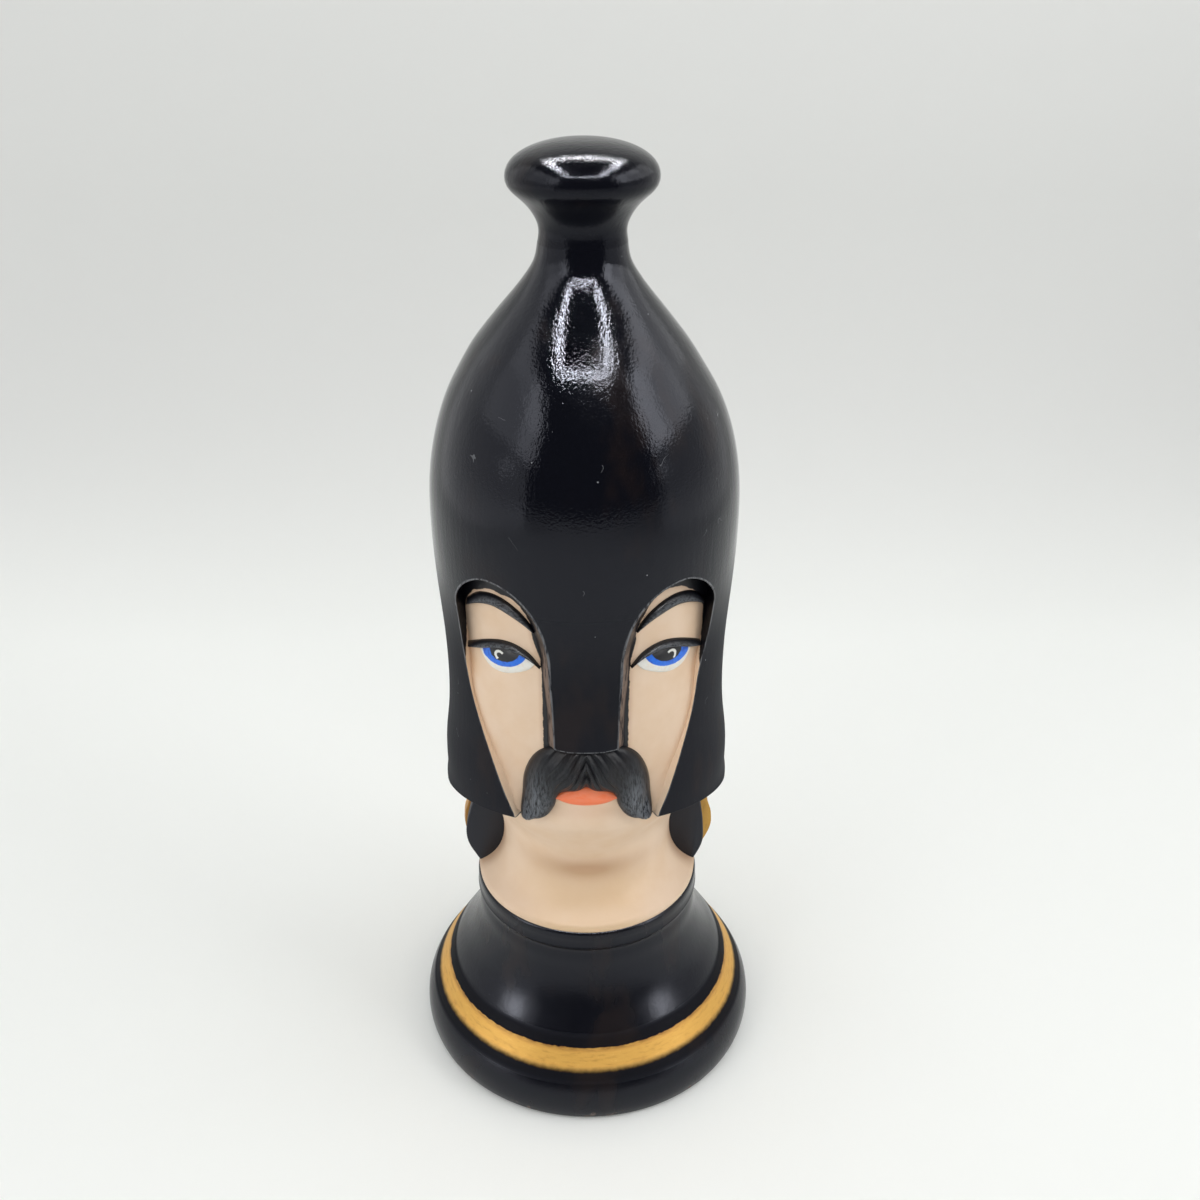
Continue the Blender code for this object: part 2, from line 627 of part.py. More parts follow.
def make_eye(side, suffix):
    inner = NASAL_HALF_WIDTH + NASAL_SPREAD + 3.0 * SEAT_GAP
    outer = OPENING_HALF_WIDTH - 4.0 * SEAT_GAP
    middle = between(inner, outer, 0.5)
    eye_sag = EYE_LINE - 0.25 * EYE_WIDTH
    eye_spine = bezier((around(inner + 0.4 * LID_WIDTH), EYE_LINE),
                       (around(between(inner, middle, 0.7)), eye_sag),
                       (around(between(middle, outer, 0.3)), eye_sag),
                       (around(outer - LID_WIDTH), EYE_LINE), 10)
    lid_peak = EYE_LINE + EYE_WIDTH / 2.0 + 1.7 * LID_WIDTH
    lid_spine = bezier((around(inner), EYE_LINE + 0.15 * EYE_WIDTH),
                       (around(between(inner, middle, 0.5)), lid_peak),
                       (around(between(middle, outer, 0.3)), lid_peak), (around(outer), EYE_LINE), 10)
    brow_end = between(EYE_LINE, ARCH_TOP, 0.5)
    brow_peak = between(EYE_LINE, ARCH_TOP, 0.86)
    brow_spine = bezier((around(inner + 0.6 * BROW_WIDTH), brow_end),
                        (around(between(inner, middle, 0.5)), brow_peak),
                        (around(between(middle, outer, 0.5)), brow_peak),
                        (around(outer - 0.2 * BROW_WIDTH), brow_end), 10)
    shapes = (
        ("eye_" + suffix, eye_spine, EYE_WIDTH, EYE_DEPTH, eye_white),
        ("upper_lid_" + suffix, lid_spine, LID_WIDTH, LID_DEPTH, black_glaze),
        ("brow_" + suffix, brow_spine, BROW_WIDTH, BROW_DEPTH, black_glaze),
    )
    for name, spine, width, depth, material in shapes:
        laid = spine if side > 0 else mirrored(spine)
        sprig(name, laid, taper(len(spine), width, 0.2 * width), depth, material, sides=2)


def shade():
    """Smooth faces with crisp edges."""
    for piece in parts.objects:
        if piece.type == 'MESH':
            piece.data.shade_smooth()
            piece.data.set_sharp_from_angle(angle=math.radians(35.0))


for stale in list(bpy.data.objects):
    bpy.data.objects.remove(stale)

parts = new_collection("chess_pawn")
cutters = new_collection("chess_pawn_cutters")
pawn = bpy.data.objects.new("pawn", None)
parts.objects.link(pawn)

black_gloss = finish_material("black_gloss", (0.006, 0.006, 0.008), 0.16)
black_glaze = finish_material("black_glaze", (0.008, 0.008, 0.010), 0.28)
flesh_paint = finish_material("flesh_paint", (0.70, 0.54, 0.41), 0.55)
gilding = finish_material("gilding", (0.58, 0.33, 0.09), 0.42, 0.35)
coral_paint = finish_material("coral_paint", (0.80, 0.22, 0.12), 0.5)
eye_white = finish_material("eye_white", (0.68, 0.70, 0.70), 0.4)
white_plaster = finish_material("white_plaster", (0.75, 0.73, 0.68), 0.9)
green_felt = finish_material("green_felt", (0.03, 0.12, 0.06), 0.95)

make_felt()
make_base()
make_ballast()
make_band()
make_head()
make_helmet()
make_finial()
make_curtain()
make_moustache()
make_lip()
make_eye(-1.0, "left")
make_eye(1.0, "right")
shade()
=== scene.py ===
"""Looks of the figural chess pawn: a painted casting with a gloss helmet, a flesh face and gilt trim.

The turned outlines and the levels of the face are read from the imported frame. Other lengths are written in
millimetres of a pawn 130 mm tall and multiplied by MM, which follows the frame's height.
"""

import math

import bmesh
import bpy
import numpy as np
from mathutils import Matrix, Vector, noise
from mathutils.geometry import interpolate_bezier


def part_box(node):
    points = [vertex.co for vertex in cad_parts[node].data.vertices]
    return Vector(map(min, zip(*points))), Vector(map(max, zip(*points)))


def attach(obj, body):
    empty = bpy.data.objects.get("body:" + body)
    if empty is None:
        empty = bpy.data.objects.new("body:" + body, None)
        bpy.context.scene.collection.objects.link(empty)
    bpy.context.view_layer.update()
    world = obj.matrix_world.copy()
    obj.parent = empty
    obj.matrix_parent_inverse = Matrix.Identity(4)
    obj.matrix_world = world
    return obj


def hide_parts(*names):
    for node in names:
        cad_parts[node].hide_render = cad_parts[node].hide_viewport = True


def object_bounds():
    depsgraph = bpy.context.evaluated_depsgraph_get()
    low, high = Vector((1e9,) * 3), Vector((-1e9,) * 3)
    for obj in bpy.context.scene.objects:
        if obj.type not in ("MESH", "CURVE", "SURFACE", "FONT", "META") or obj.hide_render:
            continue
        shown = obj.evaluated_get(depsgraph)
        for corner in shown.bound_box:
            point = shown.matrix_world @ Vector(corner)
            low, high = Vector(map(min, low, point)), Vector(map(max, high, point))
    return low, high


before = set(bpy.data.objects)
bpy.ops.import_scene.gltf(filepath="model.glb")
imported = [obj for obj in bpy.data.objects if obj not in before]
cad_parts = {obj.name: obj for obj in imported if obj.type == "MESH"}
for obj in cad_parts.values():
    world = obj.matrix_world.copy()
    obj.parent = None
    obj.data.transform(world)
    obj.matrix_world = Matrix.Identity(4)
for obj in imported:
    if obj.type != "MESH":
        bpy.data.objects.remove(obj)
cad_low, cad_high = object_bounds()

# Scale of the frame
DRAWN_HEIGHT = 130.0
MM = (cad_high.z - cad_low.z) / DRAWN_HEIGHT
HAIR = 0.002 * MM

# Levels and radii of the frame
FACE_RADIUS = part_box("head")[1].x
HELMET_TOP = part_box("helmet")[1].z
HELMET_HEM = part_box("helmet")[0].z
KNOB_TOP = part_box("finial_knob")[1].z
NASAL_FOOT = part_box("moustache")[1].z + 0.3 * MM
COLLAR_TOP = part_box("base_foot")[1].z
BASE_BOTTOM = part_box("base_foot")[0].z
BAND_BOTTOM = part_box("gold_band")[0].z
BAND_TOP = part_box("gold_band")[1].z

# Density of the skins
FRONT_TURN = 150.0
FRONT_STEPS = 220
BACK_STEPS = 90
HEAD_FRONT_STEPS = 150
HEAD_BACK_STEPS = 60
KNOB_STEPS = 180
BASE_STEPS = 200
BAND_STEPS = 220
STRIP_STEPS = (64, 14)
LIP_STEPS = (48, 16)
HAIR_STEPS = (240, 60)
FINE_ROW = 0.26 * MM
COARSE_ROW = 0.8 * MM
BASE_ROW = 0.45 * MM
CURTAIN_ROW = 0.4 * MM
FLAP_ROW = 0.3 * MM


# Lines and outlines
POINTS_AT_ONCE = 4000


def between(low, high, share):
    """The value at a share of the way from low to high."""
    return low + (high - low) * share


def ease(low, high, value):
    """A smooth step from 0 at low to 1 at high."""
    share = np.clip((value - low) / (high - low), 0.0, 1.0)
    return share * share * (3.0 - 2.0 * share)


def bump(value, middle, reach):
    """A soft hill of height 1 round a middle."""
    return np.exp(-((value - middle) / reach) ** 2)


def hump(share, power):
    """Height of a round back at a share of its width, with steeper edges for a smaller power."""
    return max(math.sin(math.pi * share), 0.0) ** power


def bezier(start, start_handle, end_handle, end, steps):
    """Points of one Bezier stretch in a plane, without its end point."""
    knots = [Vector((*point, 0.0)) for point in (start, start_handle, end_handle, end)]
    return [(point.x, point.y) for point in interpolate_bezier(*knots, steps + 1)[:-1]]


def outline_of(node, start, end):
    """Outer side of a turned node between two of its points, read where its outline crosses the back."""
    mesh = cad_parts[node].data
    spots = {}
    for corner in mesh.vertices:
        if abs(corner.co.x) < HAIR and corner.co.y > -HAIR:
            spots[corner.index] = (round(corner.co.y, 6), round(corner.co.z, 6))
    links = {}
    for first, second in mesh.edge_keys:
        if first in spots and second in spots and spots[first] != spots[second]:
            links.setdefault(spots[first], set()).add(spots[second])
            links.setdefault(spots[second], set()).add(spots[first])
    nearest = [min(links, key=lambda spot: math.dist(spot, point)) for point in (start, end)]
    walks = []
    for neighbour in links[nearest[0]]:
        walk = [nearest[0], neighbour]
        while walk[-1] != nearest[1]:
            ways = [spot for spot in links[walk[-1]] if spot not in walk]
            if not ways:
                break
            walk.append(ways[0])
        if walk[-1] == nearest[1]:
            walks.append(walk)
    return max(walks, key=lambda walk: sum(radius for radius, height in walk) / len(walk))


class SmoothLine:
    """A line without kinks through an outline's points, measured along its length."""

    def __init__(self, points):
        self.knots = np.array(points, float)
        steps = np.linalg.norm(np.diff(self.knots, axis=0), axis=1)
        self.along = np.concatenate(([0.0], np.cumsum(steps)))
        self.length = self.along[-1]
        count = len(self.knots)
        system = np.eye(count)
        pull = np.zeros((count, 2))
        for index in range(1, count - 1):
            before = steps[index - 1]
            after = steps[index]
            system[index, index - 1:index + 2] = before, 2.0 * (before + after), after
            rise = (self.knots[index + 1] - self.knots[index]) / after
            pull[index] = 6.0 * (rise - (self.knots[index] - self.knots[index - 1]) / before)
        self.bend = np.linalg.solve(system, pull)

    def at(self, place):
        """The point at a length along the line."""
        index = int(np.clip(np.searchsorted(self.along, place) - 1, 0, len(self.along) - 2))
        step = self.along[index + 1] - self.along[index]
        after = (place - self.along[index]) / step
        before = 1.0 - after
        swell = (before ** 3 - before) * self.bend[index] + (after ** 3 - after) * self.bend[index + 1]
        point = before * self.knots[index] + after * self.knots[index + 1] + swell * step * step / 6.0
        return float(point[0]), float(point[1])

    def rows(self, row_step):
        """Points along the line, spaced by a step that depends on the height."""
        points = [self.at(0.0)]
        place = 0.0
        while True:
            place += row_step(points[-1][1])
            if place > self.length - 0.4 * row_step(points[-1][1]):
                break
            points.append(self.at(place))
        points.append(self.at(self.length))
        return points


def radius_along(rows):
    """A function that gives the radius of a falling line at any height."""
    radii, heights = np.array(rows)[::-1].T
    return lambda height: np.interp(height, heights, radii)


def mirrored(points):
    """The same points on the other side."""
    return [(-x, z) for x, z in points]


def measure(points, outline):
    """Side, distance, nearest point and inward direction of points against a closed outline."""
    start = np.array(outline)
    run = np.roll(start, -1, axis=0) - start
    length = np.linalg.norm(run, axis=1)
    area = np.sum(start[:, 0] * np.roll(start[:, 1], -1) - np.roll(start[:, 0], -1) * start[:, 1])
    inward = np.stack((-run[:, 1], run[:, 0]), axis=1) * (math.copysign(1.0, area) / length)[:, None]
    at_corner = inward + np.roll(inward, 1, axis=0)
    at_corner /= np.linalg.norm(at_corner, axis=1)[:, None]
    at_next = np.roll(at_corner, -1, axis=0)
    steep = np.where(run[:, 1] == 0.0, 1.0, run[:, 1])
    found = []
    for chunk in np.array_split(points, max(1, len(points) // POINTS_AT_ONCE)):
        offset = chunk[:, None, :] - start
        share = np.clip(np.sum(offset * run, axis=2) / length ** 2, 0.0, 1.0)
        gap = np.linalg.norm(offset - share[:, :, None] * run, axis=2)
        best = np.argmin(gap, axis=1)
        rows = np.arange(len(chunk))
        part = share[rows, best][:, None]
        nearest = start[best] + part * run[best]
        blend = at_corner[best] * (1.0 - part) + at_next[best] * part
        upper = start[:, 1] > chunk[:, 1][:, None]
        straddles = upper != np.roll(upper, -1, axis=1)
        cross = start[:, 0] + offset[:, :, 1] * (run[:, 0] / steep)
        inside = np.sum(straddles & (chunk[:, 0][:, None] < cross), axis=1) % 2 == 1
        found.append((inside, gap[rows, best], nearest, blend / np.linalg.norm(blend, axis=1)[:, None]))
    return [np.concatenate(column) for column in zip(*found)]


# Shapes
def on_turn(turn, radius, height):
    """A point at a turn from the front, positive to the right."""
    return radius * math.sin(turn), -radius * math.cos(turn), height


def lathe(rows, sectors, start=0.0):
    """A turned skin: a line of (radius, height) swept round the axis in sectors of (degrees, steps)."""
    skin = bmesh.new()
    wire = [skin.verts.new(on_turn(math.radians(start), radius, height)) for radius, height in rows]
    swept = wire + [skin.edges.new(pair) for pair in zip(wire, wire[1:])]
    for degrees, steps in sectors:
        spun = bmesh.ops.spin(skin, geom=swept, cent=(0.0, 0.0, 0.0), axis=(0.0, 0.0, 1.0),
                              angle=math.radians(degrees), steps=steps, use_merge=degrees == 360.0,
                              use_duplicate=False)
        swept = spun["geom_last"]
    bmesh.ops.remove_doubles(skin, verts=skin.verts, dist=HAIR)
    face_outwards(skin)
    return skin


def face_outwards(skin):
    """Turn the faces of a shape outwards."""
    bmesh.ops.recalc_face_normals(skin, faces=skin.faces)
    skin.verts.index_update()
    skin.verts.ensure_lookup_table()


def places_of(skin):
    """Coordinates of a shape's vertices."""
    return np.array([corner.co for corner in skin.verts])


def move_to(skin, places):
    """Set the coordinates of a shape's vertices."""
    for corner, place in zip(skin.verts, places):
        corner.co = place


def add_layer(skin, name, values):
    """Keep a value per vertex under a name that the material reads."""
    layer = skin.verts.layers.float.new(name)
    for corner, value in zip(skin.verts, values):
        corner[layer] = value


def mesh_object(name, shape, material):
    """An object of a finished shape, shaded smooth."""
    mesh = bpy.data.meshes.new(name)
    shape.to_mesh(mesh)
    shape.free()
    mesh.materials.append(material)
    mesh.shade_smooth()
    made = bpy.data.objects.new(name, mesh)
    bpy.context.scene.collection.objects.link(made)
    return made


def add_piece(name, shape, material, nodes, slot, crease=None):
    """A finished piece of the pawn that stands for CAD nodes, sharp at edges of more than the crease."""
    made = mesh_object(name, shape, material)
    if crease is not None:
        made.data.set_sharp_from_angle(angle=math.radians(crease))
    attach(made, "root")
    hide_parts(*nodes)


def corners_in(grown):
    """Corners among what an extrusion added."""
    return [item for item in grown if isinstance(item, bmesh.types.BMVert)]


def extrude_rim(shape, edges, place):
    """Extrude open edges once and set each new vertex by the one it came from. Returns the new edges."""
    old = {corner for edge in edges for corner in edge.verts}
    grown = bmesh.ops.extrude_edge_only(shape, edges=edges)["geom"]
    fresh = corners_in(grown)
    source = {}
    for corner in fresh:
        for edge in corner.link_edges:
            other = edge.other_vert(corner)
            if other in old:
                source[corner] = other
    for corner in fresh:
        place(corner, source[corner])
    new_edges = [item for item in grown if isinstance(item, bmesh.types.BMEdge)]
    return [edge for edge in new_edges if edge.verts[0] in source and edge.verts[1] in source]


def open_edges(shape):
    """Edges with only one face."""
    return [edge for edge in shape.edges if len(edge.link_faces) == 1]


# Node helpers
class Value:
    """A value that nodes work out. Arithmetic with it adds Math nodes to the same tree."""

    def __init__(self, socket):
        self.socket = socket

    def __add__(self, other):
        return maths('ADD', self, other)

    def __sub__(self, other):
        return maths('SUBTRACT', self, other)

    def __rsub__(self, other):
        return maths('SUBTRACT', other, self)

    def __mul__(self, other):
        return maths('MULTIPLY', self, other)

    def __truediv__(self, other):
        return maths('DIVIDE', self, other)

    def __rtruediv__(self, other):
        return maths('DIVIDE', other, self)

    def __abs__(self):
        return maths('ABSOLUTE', self)


def tree_of(*values):
    """The node tree of the first worked-out value among some."""
    return next(value.socket.id_data for value in values if isinstance(value, Value))


def plug(value, socket):
    """Link a worked-out value to a socket, or write a plain one into it."""
    if isinstance(value, Value):
        socket.id_data.links.new(value.socket, socket)
    else:
        socket.default_value = value


def add_node(tree, kind, inputs=None, **settings):
    """A node with its settings and its inputs."""
    made = tree.nodes.new(kind)
    for key, value in settings.items():
        setattr(made, key, value)
    for key, value in (inputs or {}).items():
        plug(value, made.inputs[key])
    return made


def maths(operation, first, second=0.0):
    """The result of a Math node."""
    made = add_node(tree_of(first, second), "ShaderNodeMath", {0: first, 1: second}, operation=operation)
    return Value(made.outputs[0])


def most(first, second):
    """The larger of two values."""
    return maths('MAXIMUM', first, second)


def mix(share, first, second):
    """A share of the second colour laid over the first."""
    inputs = {"Factor": share, 6: first, 7: second}
    made = add_node(tree_of(share, first, second), "ShaderNodeMix", inputs, data_type='RGBA')
    return Value(made.outputs[2])


def ramp(value, low, high, to_low=0.0, to_high=1.0):
    """A value stretched smoothly from one range to another."""
    inputs = {"Value": value, "From Min": low, "From Max": high, "To Min": to_low, "To Max": to_high}
    made = add_node(tree_of(value), "ShaderNodeMapRange", inputs, interpolation_type='SMOOTHSTEP')
    return Value(made.outputs["Result"])


def object_places(tree, stretch=(1.0, 1.0, 1.0)):
    """Object coordinates, stretched by a scale."""
    source = add_node(tree, "ShaderNodeTexCoord")
    inputs = {"Vector": Value(source.outputs["Object"]), "Scale": stretch}
    return Value(add_node(tree, "ShaderNodeMapping", inputs).outputs["Vector"])


def axes(tree):
    """The three object coordinates, one by one."""
    made = add_node(tree, "ShaderNodeSeparateXYZ", {"Vector": object_places(tree)})
    return [Value(socket) for socket in made.outputs]


def grain(tree, size, detail=2.0, roughness=0.5, stretch=(1.0, 1.0, 1.0)):
    """Noise with features of about a size in millimetres, stretched by a scale."""
    inputs = {"Vector": object_places(tree, stretch), "Scale": 1.0 / (size * MM), "Detail": detail,
              "Roughness": roughness}
    return Value(add_node(tree, "ShaderNodeTexNoise", inputs).outputs["Fac"])


def attribute(tree, name):
    """A value kept on the mesh."""
    return Value(add_node(tree, "ShaderNodeAttribute", attribute_name=name).outputs["Fac"])


def new_paint(name):
    """A new material and its node tree."""
    material = bpy.data.materials.new(name)
    material.use_nodes = True
    return material, material.node_tree


def coated(material, tint, rough, height=None, depth=0.0, others=None):
    """Give a material its colour and roughness, a bump of a depth in millimetres and other inputs."""
    tree = material.node_tree
    inputs = {"Base Color": tint, "Roughness": rough, **(others or {})}
    if height is not None:
        marks = add_node(tree, "ShaderNodeBump", {"Height": height, "Strength": 1.0, "Distance": depth * MM})
        inputs["Normal"] = Value(marks.outputs["Normal"])
    for title, value in inputs.items():
        plug(value, tree.nodes["Principled BSDF"].inputs[title])
    return material


def colour(red, green, blue):
    """A colour given in display values from 0 to 255."""
    channels = []
    for value in (red, green, blue):
        share = value / 255.0
        channels.append(share / 12.92 if share <= 0.04045 else ((share + 0.055) / 1.055) ** 2.4)
    return (*channels, 1.0)


# Shared effects of the paint
def effect_group(name, inputs, outputs):
    """A shader node group with named floats: its tree, what it is given and the sockets that it fills."""
    group = bpy.data.node_groups.new(name, "ShaderNodeTree")
    for title, value in inputs.items():
        socket = group.interface.new_socket(title, in_out='INPUT', socket_type='NodeSocketFloat')
        socket.default_value = value
    for title in outputs:
        group.interface.new_socket(title, in_out='OUTPUT', socket_type='NodeSocketFloat')
    given = group.nodes.new("NodeGroupInput")
    result = group.nodes.new("NodeGroupOutput")
    return group, [Value(given.outputs[title]) for title in inputs], result.inputs


def use_effect(tree, group, **inputs):
    """Place a shared effect in a material with its own values, and give what it works out by name."""
    made = add_node(tree, "ShaderNodeGroup", node_tree=group)
    for title, value in inputs.items():
        plug(value, made.inputs[title.capitalize()])
    return {socket.name: Value(socket) for socket in made.outputs}


def make_brush_marks():
    """Fine peel and upright brush marks of a hand-laid coat, and slow patches of its gloss."""
    amounts = {"Peel": 1.0, "Streaks": 1.0}
    group, (peel, streaks), result = effect_group("brush_marks", amounts, ("Height", "Patches"))
    height = grain(group, 0.34, 2.0, 0.6) * peel + grain(group, 0.9, 3.0, 0.6, (1.0, 1.0, 0.16)) * streaks
    plug(height, result["Height"])
    plug(grain(group, 7.0, 3.0, 0.6, (1.0, 1.0, 0.45)), result["Patches"])
    return group


def make_dust():
    """Scattered specks of dust and a few threads of lint, as a mask."""
    amounts = {"Spacing": 4.0, "Size": 0.05, "Share": 0.3, "Lint": 0.0}
    group, (spacing, size, share, lint), result = effect_group("dust", amounts, ("Specks",))
    inputs = {"Vector": object_places(group), "Scale": 1.0 / MM / spacing, "Randomness": 1.0}
    cells = add_node(group, "ShaderNodeTexVoronoi", inputs)
    near = maths('LESS_THAN', Value(cells.outputs["Distance"]), size)
    pick = add_node(group, "ShaderNodeSeparateColor", {"Color": Value(cells.outputs["Color"])})
    picked = maths('LESS_THAN', Value(pick.outputs["Red"]), share)
    thread = maths('LESS_THAN', abs(grain(group, 3.4, 1.0) - 0.5), 0.0035)
    here = maths('GREATER_THAN', grain(group, 2.6, 0.0, stretch=(1.0, 1.1, 0.9)), 0.8)
    plug(most(near * picked, thread * here * lint), result["Specks"])
    return group


def make_ragged_edge():
    """A painted edge: a distance in millimetres, waved by the brush, as a mask that is 1 on the far side."""
    amounts = {"Distance": 0.0, "Wave": 0.1, "Softness": 0.05}
    group, (distance, wave, softness), result = effect_group("ragged_edge", amounts, ("Mask",))
    shifted = (grain(group, 0.9, 2.0, 0.6) - 0.5) * wave + distance
    plug(ramp(shifted, softness * -1.0, softness), result["Mask"])
    return group


brush_marks = make_brush_marks()
dust = make_dust()
ragged_edge = make_ragged_edge()

# Colours of the paint
BLACK = colour(13, 14, 20)
WARM_BLACK = colour(25, 20, 21)
DRY_BRUSH_AND_HIGHLIGHT_GREY = colour(104, 108, 114)
EDGE_WEAR_AND_HIGHLIGHT_GREY = colour(138, 140, 143)
WORN_BROWN = colour(122, 104, 92)
DUST_GREY = colour(168, 171, 175)
FLESH = colour(225, 200, 175)
FLESH_SHADE = colour(219, 190, 160)
FLESH_PAINTED_LIGHT = colour(246, 224, 198)
NECK_PAINTED_SHADE = colour(214, 182, 142)
FLESH_SHADE_AND_DUST = colour(160, 116, 84)
GOLD = colour(206, 158, 72)
GOLD_LIGHT = colour(222, 178, 96)
GOLD_DARK = colour(140, 92, 34)
CORAL = colour(240, 120, 74)
CORAL_LIGHT = colour(238, 146, 112)
EYE_WHITE = colour(226, 226, 220)
IRIS_BLUE = colour(28, 108, 220)
IRIS_DEEP = colour(22, 84, 196)
GLOSS_TINT = (0.85, 0.88, 1.0, 1.0)
FELT_GREEN = colour(38, 84, 58)
FELT_DARK = colour(22, 56, 38)
PLASTER = colour(222, 216, 204)
PLASTER_DARK = colour(196, 186, 170)

# Eye as painted, in millimetres seen from the front
IRIS_MIDDLE = (9.97, 72.1)
IRIS_REACH = (2.95, 2.06)
PUPIL_REACH = (1.95, 1.35)
EYE_SLANT = 0.28
GLINT_MIDDLE = (10.6, 71.3)
GLINT_REACH = 0.56


# Coats and materials
def black_coat(tree, gloss, dusty, lint=0.0):
    """Colour, roughness and height of the black coat: faint warm patches, brush marks and dust."""
    marks = use_effect(tree, brush_marks, peel=1.0, streaks=1.3)
    base = mix(ramp(marks["Patches"], 0.52, 0.7), BLACK, WARM_BLACK)
    specks = use_effect(tree, dust, spacing=3.4, size=0.026, share=dusty, lint=lint)["Specks"]
    fine = use_effect(tree, dust, spacing=1.2, size=0.032, share=0.25 * dusty, lint=0.0)["Specks"]
    dusted = most(specks, fine) * 0.6
    rough = ramp(marks["Patches"], 0.3, 0.7, gloss - 0.03, gloss + 0.06)
    return mix(dusted, base, DUST_GREY), most(rough, dusted), marks["Height"]


def gloss_of(shine):
    """Inputs of the bluish shine of the black coat."""
    return {"Specular Tint": GLOSS_TINT, "Specular IOR Level": shine}


def flesh_coat(tree):
    """Colour of the flesh coat, with slow mottling."""
    return mix(ramp(grain(tree, 5.0, 3.0, 0.55), 0.3, 0.8), FLESH, FLESH_SHADE)


def gold_coat(tree, run):
    """Colour of the gilt paint, in soft strokes along a run with a little brighter fleck, and the strokes."""
    strokes = grain(tree, 0.7, 3.0, 0.6, run)
    ground = mix(ramp(strokes, 0.25, 0.5, 0.35, 0.0), GOLD, GOLD_DARK)
    bright = ramp(strokes, 0.5, 0.75) * ramp(grain(tree, 0.12, 1.0), 0.4, 0.7)
    return mix(bright * 0.7, ground, GOLD_LIGHT), strokes


def make_helmet_gloss():
    """Gloss black of the helmet, flesh on the cheek walls lightened as painted light, nasal sides rubbed
    brown, rim in grey wear and painted highlight.
    """
    material, tree = new_paint("helmet_gloss")
    tint, rough, height = black_coat(tree, 0.08, 0.5, 0.35)
    up = axes(tree)[2]
    satin = ramp(up, 66.0 * MM, 88.0 * MM, 0.7, 0.0)
    shine = ramp(up, 62.0 * MM, 88.0 * MM, 0.2, 0.3)
    wall = attribute(tree, "wall")
    streak = grain(tree, 0.35, 3.0, 0.6, (1.0, 1.0, 0.15))
    rubbed = attribute(tree, "nasal") * ramp(streak, 0.32, 0.56) * ramp(wall, 0.05, 0.16)
    rubbed = rubbed * ramp(wall, 0.42, 0.6, 1.0, 0.0) * ramp(up, 73.0 * MM, 75.0 * MM, 1.0, 0.3)
    tint = mix(rubbed * 0.95, tint, WORN_BROWN)
    skin = use_effect(tree, ragged_edge, distance=attribute(tree, "flesh"), wave=0.22, softness=0.06)["Mask"]
    skin *= ramp(wall, 0.02, 0.12)
    # Flesh on the cheek walls, mixed paler than the face: painted light.
    tint = mix(skin, tint, mix(0.75, flesh_coat(tree), FLESH_PAINTED_LIGHT))
    # Grey along the rim, away from the cheek guards: worn paint and a painted highlight of the rounded edge.
    edge = ramp(attribute(tree, "rim"), 0.02, 0.2, 1.0, 0.0) * ramp(wall, 0.06, 0.16, 1.0, 0.0)
    edge = edge * ramp(streak, 0.3, 0.6) * (1.0 - attribute(tree, "cheek"))
    tint = mix(edge * 0.5, tint, EDGE_WEAR_AND_HIGHLIGHT_GREY)
    rough = most(most(rough, satin), most(skin, rubbed) * 0.5)
    return coated(material, tint, rough, height, 0.023, gloss_of(shine))


def make_plain_black(name, gloss, dusty, depth, shine):
    """Plain black of a gloss, with marks of a depth."""
    material, tree = new_paint(name)
    tint, rough, height = black_coat(tree, gloss, dusty)
    return coated(material, tint, rough, height, depth, gloss_of(shine))


def make_base_black():
    """Black of the base: softer gloss, dull in the crease at the band, rubbed along the foot's lower edge."""
    material, tree = new_paint("base_black")
    tint, rough, height = black_coat(tree, 0.23, 0.12)
    up = axes(tree)[2]
    crease = ramp(abs(up - 0.5 * (BAND_TOP + BAND_BOTTOM)), 2.4 * MM, 3.6 * MM, 1.0, 0.0)
    low = ramp(up, BASE_BOTTOM + 0.2 * MM, BASE_BOTTOM + 1.6 * MM, 1.0, 0.0)
    worn = low * ramp(grain(tree, 1.6, 4.0, 0.65), 0.58, 0.66) * 0.6
    rough = most(most(rough, crease * 0.7), worn)
    shine = ramp(crease, 0.0, 1.0, 0.3, 0.08)
    return coated(material, mix(worn, tint, WORN_BROWN), rough, height, 0.013, gloss_of(shine))


def make_dry_brush_and_highlight(name, strength, run):
    """Black relief with grey dragged over its ridges by a nearly dry brush, also standing in as a painted
    highlight there.
    """
    material, tree = new_paint(name)
    tint, rough, height = black_coat(tree, 0.34, 0.1)
    # Grey on the ridges: dry-brushed paint and a painted highlight.
    raised = attribute(tree, "ridge") * ramp(grain(tree, 0.26, 3.0, 0.65, run), 0.34, 0.6)
    tint = mix(raised * strength, tint, DRY_BRUSH_AND_HIGHLIGHT_GREY)
    return coated(material, tint, rough, height, 0.008, {"Specular IOR Level": 0.28})


